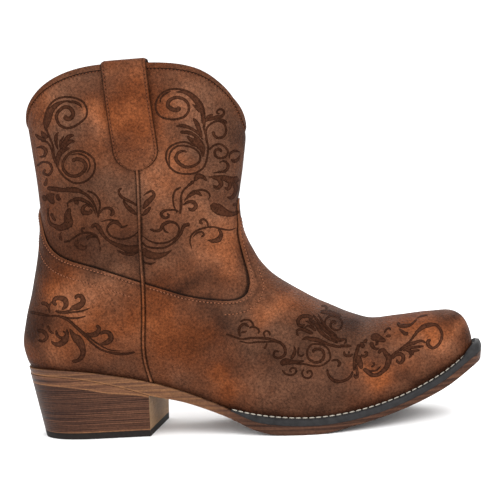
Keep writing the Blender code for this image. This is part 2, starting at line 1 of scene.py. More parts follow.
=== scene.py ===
"""Looks of the western ankle boot: leather panels, tooled scrolls, stitches, welt, sole and heel.

Sizes and tables are in millimetres, in the frame of the part: +X to the toe, +Y to the inner side of the
foot, +Z up. MM turns them into metres when a mesh is made.
"""

import math

import bmesh
import bpy
import numpy as np
from mathutils import Matrix, Vector
from mathutils.bvhtree import BVHTree


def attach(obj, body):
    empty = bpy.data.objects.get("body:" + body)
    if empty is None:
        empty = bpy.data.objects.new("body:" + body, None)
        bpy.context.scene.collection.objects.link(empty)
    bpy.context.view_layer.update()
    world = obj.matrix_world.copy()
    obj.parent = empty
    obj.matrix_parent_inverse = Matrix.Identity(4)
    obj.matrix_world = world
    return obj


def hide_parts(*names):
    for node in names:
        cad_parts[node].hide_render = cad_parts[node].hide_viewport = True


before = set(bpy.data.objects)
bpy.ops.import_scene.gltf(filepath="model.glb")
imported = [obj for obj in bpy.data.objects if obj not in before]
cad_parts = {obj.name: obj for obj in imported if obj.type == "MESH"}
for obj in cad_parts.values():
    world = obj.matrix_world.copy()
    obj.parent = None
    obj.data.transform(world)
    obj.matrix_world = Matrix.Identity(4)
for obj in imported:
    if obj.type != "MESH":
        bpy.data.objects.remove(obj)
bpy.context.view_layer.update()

MM = 0.001
NEAR, FAR = -1.0, 1.0  # sides of the boot: the outer side faces the camera
SIDES = (("outer", NEAR), ("inner", FAR))
FRONT, BACK = 1.0, -1.0  # of the side seam

# Distances in a mesh: points this close become one, and edges this short go
WELD = 0.01
SLIVER = 0.005
CUT_SLIVER = 0.02
BEVEL_ANGLE = 40.0  # degrees from which an edge is rounded
SHARP = 50.0  # degrees from which an edge is shaded sharp, unless a piece has its own
STRAP_SHARP = 65.0
BINDING_SHARP = 70.0
WELT_SHARP = 60.0

# The photo's camera: degrees round and above the boot, and a point that it looks at
IMAGE_SIZE = 500.0
SENSOR = 36.0
CAMERA_AZIMUTH = 8.909
CAMERA_ELEVATION = 4.708
CAMERA_ROLL = 4.518
CAMERA_DISTANCE = 950.0
CAMERA_FOCUS = 1.6482 * CAMERA_DISTANCE  # in pixels
CAMERA_TARGET = (5.274, 0.0, 105.916)

# Leather
GAP = 0.3
WALL = 2.0
INNER_COLLAR_DROP = 2.6  # the collar's inner side lies a little lower
COLLAR_RISE = (  # pairs of x and how much higher the collar's outer side is there
    (-126.0, 0.0), (-115.0, 0.8), (-95.0, 1.4), (-72.0, 1.2), (-56.0, 0.8), (-42.0, 1.2), (-34.0, 2.1),
    (-19.0, 4.2), (-12.0, 5.0), (-3.0, 4.8), (4.0, 4.0), (8.5, 1.6),
)
COLLAR_SPAN = (150.0, 190.0)  # heights between which the collar's sides start to differ
COLLAR_OUTER_FADE = (-4.0, 8.0)  # distances to the outer side between which it starts to rise
COLLAR_INNER_FADE = (0.0, 20.0)  # distances to the inner side between which it starts to drop
RIM_MIDDLE = 0.5  # points of the collar up to this y are its outer side
OVERLAY = 1.2  # vamp and counter leather
OVERLAY_SEAT = 0.25  # they lie this far off the upper
CUT_EDGE = 0.7  # share of its thickness that a skived edge keeps
SKIVE = 1.6  # width of the skived edge
FEATHER_ROLL = 4.0  # height over which the leather turns in above the welt
FEATHER_THIN = 0.35  # share of its thickness that shows at the welt

# Trim
SEAM = (  # pairs of z and x
    (30.0, -55.5), (36.0, -56.5), (45.0, -58.0), (54.0, -58.2), (73.0, -56.4), (90.0, -55.4), (113.0, -55.0),
    (143.0, -53.2), (160.0, -52.5), (190.0, -53.6), (222.0, -55.0),
)
PIPING_WIDTH = 2.4
PIPING_HEIGHT = 2.0
PIPING_TOP_Z = 160.0
PIPING_SINK = 0.1  # it lies this deep in the wall
PIPING_STEPS = 90
PIPING_SIDES = 9
STRAP_WIDTH = 27.0
STRAP_THICKNESS = 1.5
STRAP_END_Z = (160.0, 186.0)
STRAP_STITCH_Z = 172.0
STRAP_BOW = 1.2
STRAP_END_ROUND = 12.0
STRAP_OVER = 2.0  # clearance over the collar's edge
STRAP_TIP = 0.02  # least share of its width at the round's end
STRAP_EDGE = (0.45, 0.12)  # share of the thickness kept at its edges, and of the half width that thins
STRAP_RIM = 20.0  # the collar's top is looked for this far from the middle plane
STRAP_ROUND_ROWS = 14
STRAP_LEG_ROWS = 37
STRAP_FOLD_ROWS = 13
STRAP_INNER_ROWS = 12
STRAP_COLUMNS = 17
STRAP_FOLD = 0.66  # height of the fold over the collar as a share of its half width
BINDING_LEG = 2.5
BINDING_GAP = 0.15
BINDING_THICKNESS = 0.55
# Half of the binding's section, from the end of a leg to the collar's edge: how far out of the wall and past
# the edge it lies, as shares of its reach, and how far down the leg, as a share of the leg
BINDING_SECTION = ((0.7, 0.0, 1.0), (1.0, 0.0, 0.75), (1.0, 0.0, 0.32), (0.75, 0.4, 0.0), (0.0, 1.0, 0.0))
BELOW_COLLAR = -4  # a row of the upper's grid a little below the collar's edge

# Shades of leather at distances from its edges, as shares of the lightest. They are mostly painted light:
# shadows where one piece laps or stands on another, highlights on rounded edges and shade in stitch grooves
EDGE_SPAN = 10.0
# shaft: painted shadow beside the lapping edges of vamp and counter and under the binding, fading out over a
# few millimetres
SHAFT_SHADES = ((0.0, 0.1), (0.9, 0.14), (1.7, 0.62), (5.0, 0.77))
# vamp and counter: a painted highlight along their rounded top edge, then painted shade in the groove of the
# stitch row
FOOT_SHADES = ((0.0, 0.95), (0.7, 0.9), (1.1, 0.62), (1.5, 0.54), (2.0, 0.6), (2.6, 0.74), (5.0, 0.77))
# piping and strap: painted shade at their edges, a painted highlight on their rounded middle, and painted
# shade in the strap's stitch groove
TRIM_SHADES = ((0.0, 0.16), (0.5, 0.3), (1.0, 0.85), (1.5, 0.5), (2.0, 0.5), (2.5, 0.77))
# scrolls: dark at the borders of each stroke, the tooling's own dark outline with painted shade that makes
# wide strokes look raised
SCROLL_SHADES = ((0.0, 0.45), (0.3, 0.5), (0.8, 0.8), (2.0, 0.95))
COLLAR_EDGE_RATE = 2.0  # the painted shadow under the binding is narrower by this
FEATHER_SHADE = (0.9, 1.0, 3.0)  # painted shade where the leather turns in above the welt: how much darker, from what height, what reach
STRAP_SHADOW = (0.6, 2.5)  # painted shadow of the strap: how much darker the shaft is beside it, and over what width
STRAP_SHADOW_Z = (167.0, 187.0)  # heights between which the painted shadow starts
PALE_LINE = ((0.0, 1.0), (0.5, 0.8), (1.2, 0.0))  # paleness of a layer of the sole above its lower edge
HIDDEN_LINE = (12.0, -50.0, -20.0)  # lifts the outsole's line out of sight, rising between these places
SHANK_PALE = (0.42, -30.0, 6.0)  # how much paler the shank is, and between which places that ends
SEAT_DARKENING = (0.14, -115.0, -50.0)  # how much darker the seat is, and between which places that ends
HEEL_PALE = {  # at back and breast
    "seat_wedge": (-0.2, 0.1),
    "stacked_heel": (-0.16, 0.02),
    "top_lift": (0.0, 0.0),
}
HEEL_PALE_X = (-135.0, -75.0)

# Trim and scrolls follow the patches less than the panels do: share of their tone, and what is added to it
PIPING_TONE = (0.5, 0.3)
STRAP_TONE = (0.6, 0.05)
BINDING_TONE = (0.5, -0.2)
SCROLL_TONE = (0.5, 0.0)
BINDING_EDGE = 3.0  # the whole binding has the shade at this distance from an edge

# Stitches and scrolls
SEWING = (2.2, 1.3, 0.34)  # pitch, length and radius of a stitch
PINHOLE = (0.5, 0.42, 0.2)  # a dark bead of painted shade in a stitch hole: length, radius and how deep it lies
BEAD_SHARES = (-1.0, -0.86, -0.4, 0.4, 0.86, 1.0)  # rings along a stitch
BEAD_SIDES = 6
BEAD_TIP = 0.02
TOPLINE_ROWS = (  # name, panel, degrees at both ends, number of points and drop below the topline
    ("vamp", "vamp", (5.0, 84.0), 120, 1.4),
    ("counter", "counter", (91.5, 178.0), 120, 1.4),
    ("counter_low", "counter", (91.5, 178.0), 120, 9.6),
    ("corner", "vamp", (20.0, 45.0), 60, 8.2),
)
COLLAR_STITCH_DROP = 0.8  # below the binding
WELT_SEWING = (3.9, 3.2, 0.45)
WELT_STITCH_INSET = 1.0  # from the foot of the upper
WELT_STITCH_END = 2.0  # from the end of the welt
WELT_STITCH_LIFT = (0.3, 0.16)  # above the welt, and the share of the toe's lip that is added
WELT_STITCH_STEPS = 200
RAY_START = 200.0  # well outside the boot
RAY_REACH = 4.0  # the same, in reaches of the topline
PANEL_LIFT = 2.5  # from here the nearest face of a panel is its outer one
STROKE_STEP = 0.9  # pixels
STROKE_TIP = 1.2  # pixels over which a stroke narrows at its ends
STROKE_TIP_LEAST = 0.04
SCROLL_LIFTS = (0.06, 0.14, 0.06)
LEAST_FACING = 0.12

# Sole and heel
WELT_THICKNESS = 4.2
WELT_RAMP = (-16.0, 12.0)
WELT_END_X = -10.0
WELT_BITE = 12.0
WELT_ROUND = 1.7  # rounding of its outer edge
WELT_TOE = (127.0, 138.5)  # the welt turns up round the toe
WELT_TOE_LIP = 3.0
WELT_TOE_ROUND = 1.6
WELT_SHOULDER = 0.3  # place of a point in the rounding, as a share of it
WELT_SHOULDER_LIP = 0.6  # share of the toe's lip there
WELT_FOOT = 0.5  # its raised part ends this far outside the upper
UNDERSIDE_INSET = 0.8
SOLE_MARGINS = (6.0, 20.0)
SOLE_STEPS = 130
SOLE_CROWDING = 0.06  # how much closer together points lie at toe and heel
SOLE_BEVEL = 0.5
FLAT_SPOT = (24.0, 44.0)
SPINE_ENDS = (-107.0, 108.0)
HEEL_INSET = 0.5
HEEL_BREAST_X = (-58.0, -59.5)
HEEL_BACK_RAKE = 6.8
HEEL_SIDE_TAPER = 0.07
SEAT_LIFT_THICKNESS = (1.2, 5.6)
SEAT_LIFT_RAMP = 30.0
TOP_LIFT_THICKNESS = 3.8
HEEL_ROWS = 41
HEEL_COLUMNS = 9
HEEL_BEVEL = 0.35
BREAST_FACING = 0.8

OUTLINE_COLUMNS = ("x", "outer", "inner")
OUTLINE = (
    (-134.0, 14.5, 14.5),
    (-124.0, 24.3, 24.3),
    (-108.0, 29.8, 29.8),
    (-85.0, 30.5, 30.3),
    (-57.0, 30.6, 29.0),
    (-30.0, 32.6, 26.8),
    (-8.0, 37.6, 30.2),
    (15.0, 44.4, 39.4),
    (38.0, 47.0, 46.0),
    (55.0, 45.6, 47.0),
    (80.0, 38.6, 41.8),
    (103.0, 30.0, 33.2),
    (122.0, 21.6, 24.4),
    (134.0, 15.4, 18.0),
    (138.8, 9.4, 12.2),
)
OUTLINE_HEEL = (-138.6, 0.0)
OUTLINE_TOE = (140.0, 1.4)

BOTTOM_COLUMNS = ("x", "feather_z", "underside_z", "welt_out")
BOTTOM = (
    (-138.6, 43.4, 39.6, 0.6),
    (-122.0, 43.4, 39.2, 0.7),
    (-101.0, 41.8, 37.0, 0.8),
    (-78.0, 37.8, 31.6, 0.9),
    (-57.0, 33.0, 24.9, 1.0),
    (-37.0, 26.6, 20.2, 1.1),
    (-22.0, 20.8, 15.2, 1.3),
    (-8.0, 15.6, 9.8, 1.8),
    (2.0, 13.2, 5.0, 2.4),
    (13.0, 11.4, 1.4, 3.0),
    (24.0, 10.2, 0.0, 3.3),
    (34.0, 9.6, 0.0, 3.4),
    (44.0, 9.5, 0.0, 3.5),
    (62.0, 10.8, 2.8, 3.6),
    (82.0, 14.4, 7.0, 3.8),
    (102.0, 20.8, 12.9, 4.1),
    (121.0, 30.0, 21.0, 4.5),
    (134.0, 38.8, 29.4, 5.0),
    (140.0, 42.4, 33.2, 5.3),
)

SECTION_COLUMNS = (
    "along", "base_x", "base_z", "ridge_x", "ridge_z", "ridge_y",
    "outer", "inner", "widest", "fullness", "back", "lift",
)
SECTIONS = (
    (0.000, 0.0, 0.0, 133.0, 38.4, 1.4, 0.0, 0.0, 0.10, 2.2, 2.0, 0.0),
    (0.018, 0.0, 0.0, 133.0, 44.6, 1.4, 5.7, 5.7, 0.10, 2.2, 2.0, 0.0),
    (0.036, 0.0, 0.0, 131.9, 50.4, 1.4, 10.3, 10.3, 0.10, 2.3, 2.0, 0.0),
    (0.060, 0.0, 0.0, 129.4, 56.2, 1.4, 14.4, 14.4, 0.12, 2.4, 2.0, 0.0),
    (0.090, 0.0, 0.0, 124.6, 60.1, 1.4, 18.4, 18.4, 0.14, 2.5, 2.0, 0.0),
    (0.140, 0.0, 0.0, 111.0, 60.8, 1.4, 25.2, 25.2, 0.16, 2.4, 2.0, 0.0),
    (0.210, 0.0, 0.0, 91.0, 59.5, 1.4, 33.4, 33.4, 0.16, 2.2, 2.0, 0.0),
    (0.275, 0.0, 0.0, 73.6, 58.9, 1.4, 39.6, 39.6, 0.16, 2.0, 2.0, 0.0),
    (0.345, 0.0, 0.0, 57.0, 65.2, 1.6, 43.6, 42.6, 0.16, 1.9, 2.0, 0.0),
    (0.425, 0.0, 0.0, 41.0, 73.4, 1.8, 43.6, 40.4, 0.18, 1.85, 2.0, 0.0),
    (0.505, 0.0, 0.0, 27.0, 82.1, 1.8, 39.6, 33.6, 0.22, 1.85, 2.0, 0.0),
    (0.585, 0.0, 0.0, 16.8, 89.7, 1.6, 35.4, 30.6, 0.28, 1.85, 2.0, 0.0),
    (0.675, 0.0, 0.0, 9.9, 97.8, 1.2, 33.4, 31.2, 0.34, 1.9, 2.2, 0.0),
    (0.780, 0.0, 0.0, 5.2, 106.8, 0.8, 33.0, 32.0, 0.40, 1.95, 2.5, 0.0),
    (0.890, 0.0, 0.0, 1.9, 115.0, 0.4, 33.0, 32.6, 0.45, 2.0, 2.9, 0.0),
    (1.000, -136.5, 43.7, 0.4, 122.0, 0.0, 33.0, 32.8, 0.48, 2.0, 3.0, 0.0),
    (1.000, -139.1, 57.0, -0.1, 129.0, 0.0, 33.0, 33.0, 0.49, 2.0, 3.0, 0.0),
    (1.000, -136.1, 72.0, 0.0, 135.0, 0.0, 33.0, 33.0, 0.49, 2.0, 2.9, 0.0),
    (1.000, -129.6, 93.3, 1.9, 143.0, 0.0, 33.2, 33.2, 0.49, 2.0, 2.7, 2.0),
    (1.000, -123.4, 119.6, 4.0, 152.5, 0.0, 33.8, 33.8, 0.49, 2.0, 2.5, 9.0),
    (1.000, -122.7, 147.2, 6.1, 163.0, 0.0, 34.6, 34.6, 0.49, 2.0, 2.4, 19.0),
    (1.000, -124.2, 171.0, 7.9, 173.0, 0.0, 35.0, 35.0, 0.49, 2.0, 2.4, 29.0),
    (1.000, -125.6, 188.6, 8.0, 177.2, 0.0, 35.3, 35.3, 0.49, 2.0, 2.4, 34.0),
    (1.000, -125.9, 192.4, 8.2, 180.8, 0.0, 35.4, 35.4, 0.49, 2.0, 2.4, 35.2),
)
HEEL_ROW = 15
FEATHER_LENGTH = 300.0
NOTCH_ROUND = 0.16
DIP_POWERS = (0.85, 1.0)
LEAST_SWELL = 1.005
LEAST_SINE = 1e-6
SPANS = ((0, 4, 28), (4, 13, 64), (13, HEEL_ROW, 36), (HEEL_ROW, 17, 20), (17, 22, 36), (22, 23, 3))
SIDE_STEPS = 56
CURVE_STEPS = 600

TOPLINE = (  # pairs of degrees round the leg, from the front, and z
    (0.0, 138.0), (2.5, 133.5), (6.0, 124.0), (12.0, 115.6), (17.2, 104.0), (21.7, 93.4), (24.5, 88.0),
    (28.0, 84.6), (32.5, 81.2), (37.0, 78.9), (42.0, 78.3), (49.0, 79.4), (56.0, 81.0), (64.0, 83.4),
    (74.0, 87.4), (90.0, 93.9), (113.0, 104.0), (134.0, 112.4), (154.0, 125.0), (170.0, 137.0),
    (180.0, 140.5),
)
TOPLINE_CENTRE_X = -58.0
TOPLINE_REACH = (64.0, 34.0)

# Soft troughs in the leather: x and z of the middle, half length, half width, slope in degrees and depth
CREASES = (
    (-14.0, 112.0, 20.0, 6.0, -52.0, 0.9),
    (2.0, 90.0, 20.0, 5.0, -38.0, 0.7),
    (52.0, 52.0, 22.0, 5.0, -62.0, 0.6),
    (66.0, 46.0, 20.0, 5.0, -66.0, 0.6),
    (-96.0, 122.0, 24.0, 6.0, -14.0, 0.8),
    (-84.0, 148.0, 26.0, 7.0, 8.0, 0.5),
    (-30.0, 136.0, 24.0, 6.0, 20.0, 0.6),
    (-104.0, 70.0, 26.0, 8.0, -30.0, 0.5),
)

# Waves that make the borders of patches uneven: how far they shift, and their lengths along z and x
PATCH_WAVE_X = (4.0, 5.0, 11.0)
PATCH_WAVE_Z = (3.0, 9.0, 4.5)

# Patches where the leather is lighter (amount above 0) or darker, partly from rubbed and burnished finish
# and partly
# painted shade and highlights: x and z of the middle, reach in x and z, and amount
PATCHES = (
    (-88.0, 96.0, 26.0, 9.0, 0.45),
    (-97.0, 82.0, 18.0, 12.0, 0.7),
    (-62.0, 66.0, 22.0, 20.0, 0.35),
    # burnish with painted shade along the back of the counter
    (-128.0, 80.0, 11.0, 36.0, -0.9),
    (-112.0, 52.0, 14.0, 9.0, 0.35),
    (-122.0, 71.0, 9.0, 9.0, -0.6),
    (-118.0, 110.0, 12.0, 20.0, -0.45),
    (-84.0, 48.0, 24.0, 6.0, -0.2),
    (-87.0, 118.0, 25.0, 15.0, -0.8),
    (-62.0, 138.0, 12.0, 22.0, -0.12),
    (-84.0, 165.0, 13.0, 13.0, -0.35),
    (3.0, 199.0, 10.0, 12.0, 0.45),
    (-73.0, 192.0, 10.0, 8.0, 0.95),
    (-105.0, 200.0, 8.0, 12.0, 0.3),
    (-95.0, 209.0, 9.0, 9.0, 0.35),
    (-57.0, 190.0, 9.0, 10.0, 0.7),
    (-57.0, 208.0, 12.0, 6.0, -0.35),
    (-40.0, 156.0, 13.0, 20.0, 0.55),
    (-22.0, 195.0, 12.0, 10.0, 0.5),
    (2.0, 178.0, 10.0, 26.0, -0.45),
    # painted shade on the vamp's tongue beside the shaft
    (7.0, 122.0, 6.0, 24.0, -0.8),
    (-17.0, 131.0, 14.0, 12.0, 0.3),
    (-10.0, 104.0, 18.0, 16.0, 0.65),
    (-36.0, 110.0, 16.0, 10.0, -0.3),
    (-28.0, 92.0, 20.0, 7.0, -0.85),
    (-38.0, 66.0, 14.0, 16.0, -0.05),
    (-11.0, 64.0, 11.0, 16.0, -0.75),
    (-45.0, 64.0, 30.0, 22.0, -0.2),
    (-4.0, 44.0, 16.0, 12.0, -0.3),
    (-5.0, 142.0, 10.0, 7.0, -0.4),
    (-70.0, 107.0, 20.0, 6.0, -0.4),
    (21.0, 72.0, 12.0, 11.0, 0.62),
    (-7.0, 33.0, 12.0, 8.0, 0.5),
    (14.0, 46.0, 16.0, 12.0, -0.4),
    (48.0, 48.0, 18.0, 13.0, -0.35),
    (80.0, 44.0, 12.0, 9.0, -0.3),
    (38.0, 64.0, 13.0, 9.0, -0.35),
    (30.0, 84.0, 14.0, 6.0, -0.45),
    (64.0, 63.0, 16.0, 6.0, -0.7),
    (56.0, 31.0, 16.0, 8.0, -0.5),
    (82.0, 30.0, 14.0, 8.0, 0.85),
    (100.0, 50.0, 14.0, 8.0, 0.45),
    (119.0, 46.0, 11.0, 9.0, 0.8),
    (104.0, 27.0, 20.0, 4.0, -0.6),
    (46.0, 17.0, 44.0, 5.0, -0.5),
    (122.0, 61.0, 12.0, 4.0, -0.8),
    (134.0, 48.0, 4.0, 9.0, -0.6),
)

# Patches where the finish is redder (amount above 0) or greyer, in the same columns
WARMTH = (
    (-54.0, 200.0, 28.0, 22.0, 1.1),
    (-33.0, 162.0, 14.0, 18.0, 0.5),
    (-112.0, 98.0, 9.0, 20.0, 0.7),
    (-104.0, 58.0, 26.0, 14.0, 0.6),
    (-56.0, 77.0, 24.0, 16.0, 1.1),
    (-28.0, 58.0, 22.0, 14.0, 1.0),
    (-9.0, 32.0, 16.0, 10.0, 0.8),
    (81.0, 30.0, 13.0, 9.0, 1.2),
    (114.0, 53.0, 18.0, 8.0, 0.8),
    (-4.0, 112.0, 10.0, 24.0, 0.4),
    (21.0, 72.0, 12.0, 11.0, 0.7),
    (-92.0, 190.0, 14.0, 26.0, -0.9),
    (-10.0, 169.0, 16.0, 24.0, -0.9),
    (-82.0, 152.0, 24.0, 10.0, -0.5),
    (-2.0, 64.0, 14.0, 16.0, -1.0),
    (42.0, 54.0, 32.0, 14.0, -1.2),
    (34.0, 25.0, 26.0, 12.0, -0.5),
    (102.0, 44.0, 9.0, 8.0, -0.5),
)

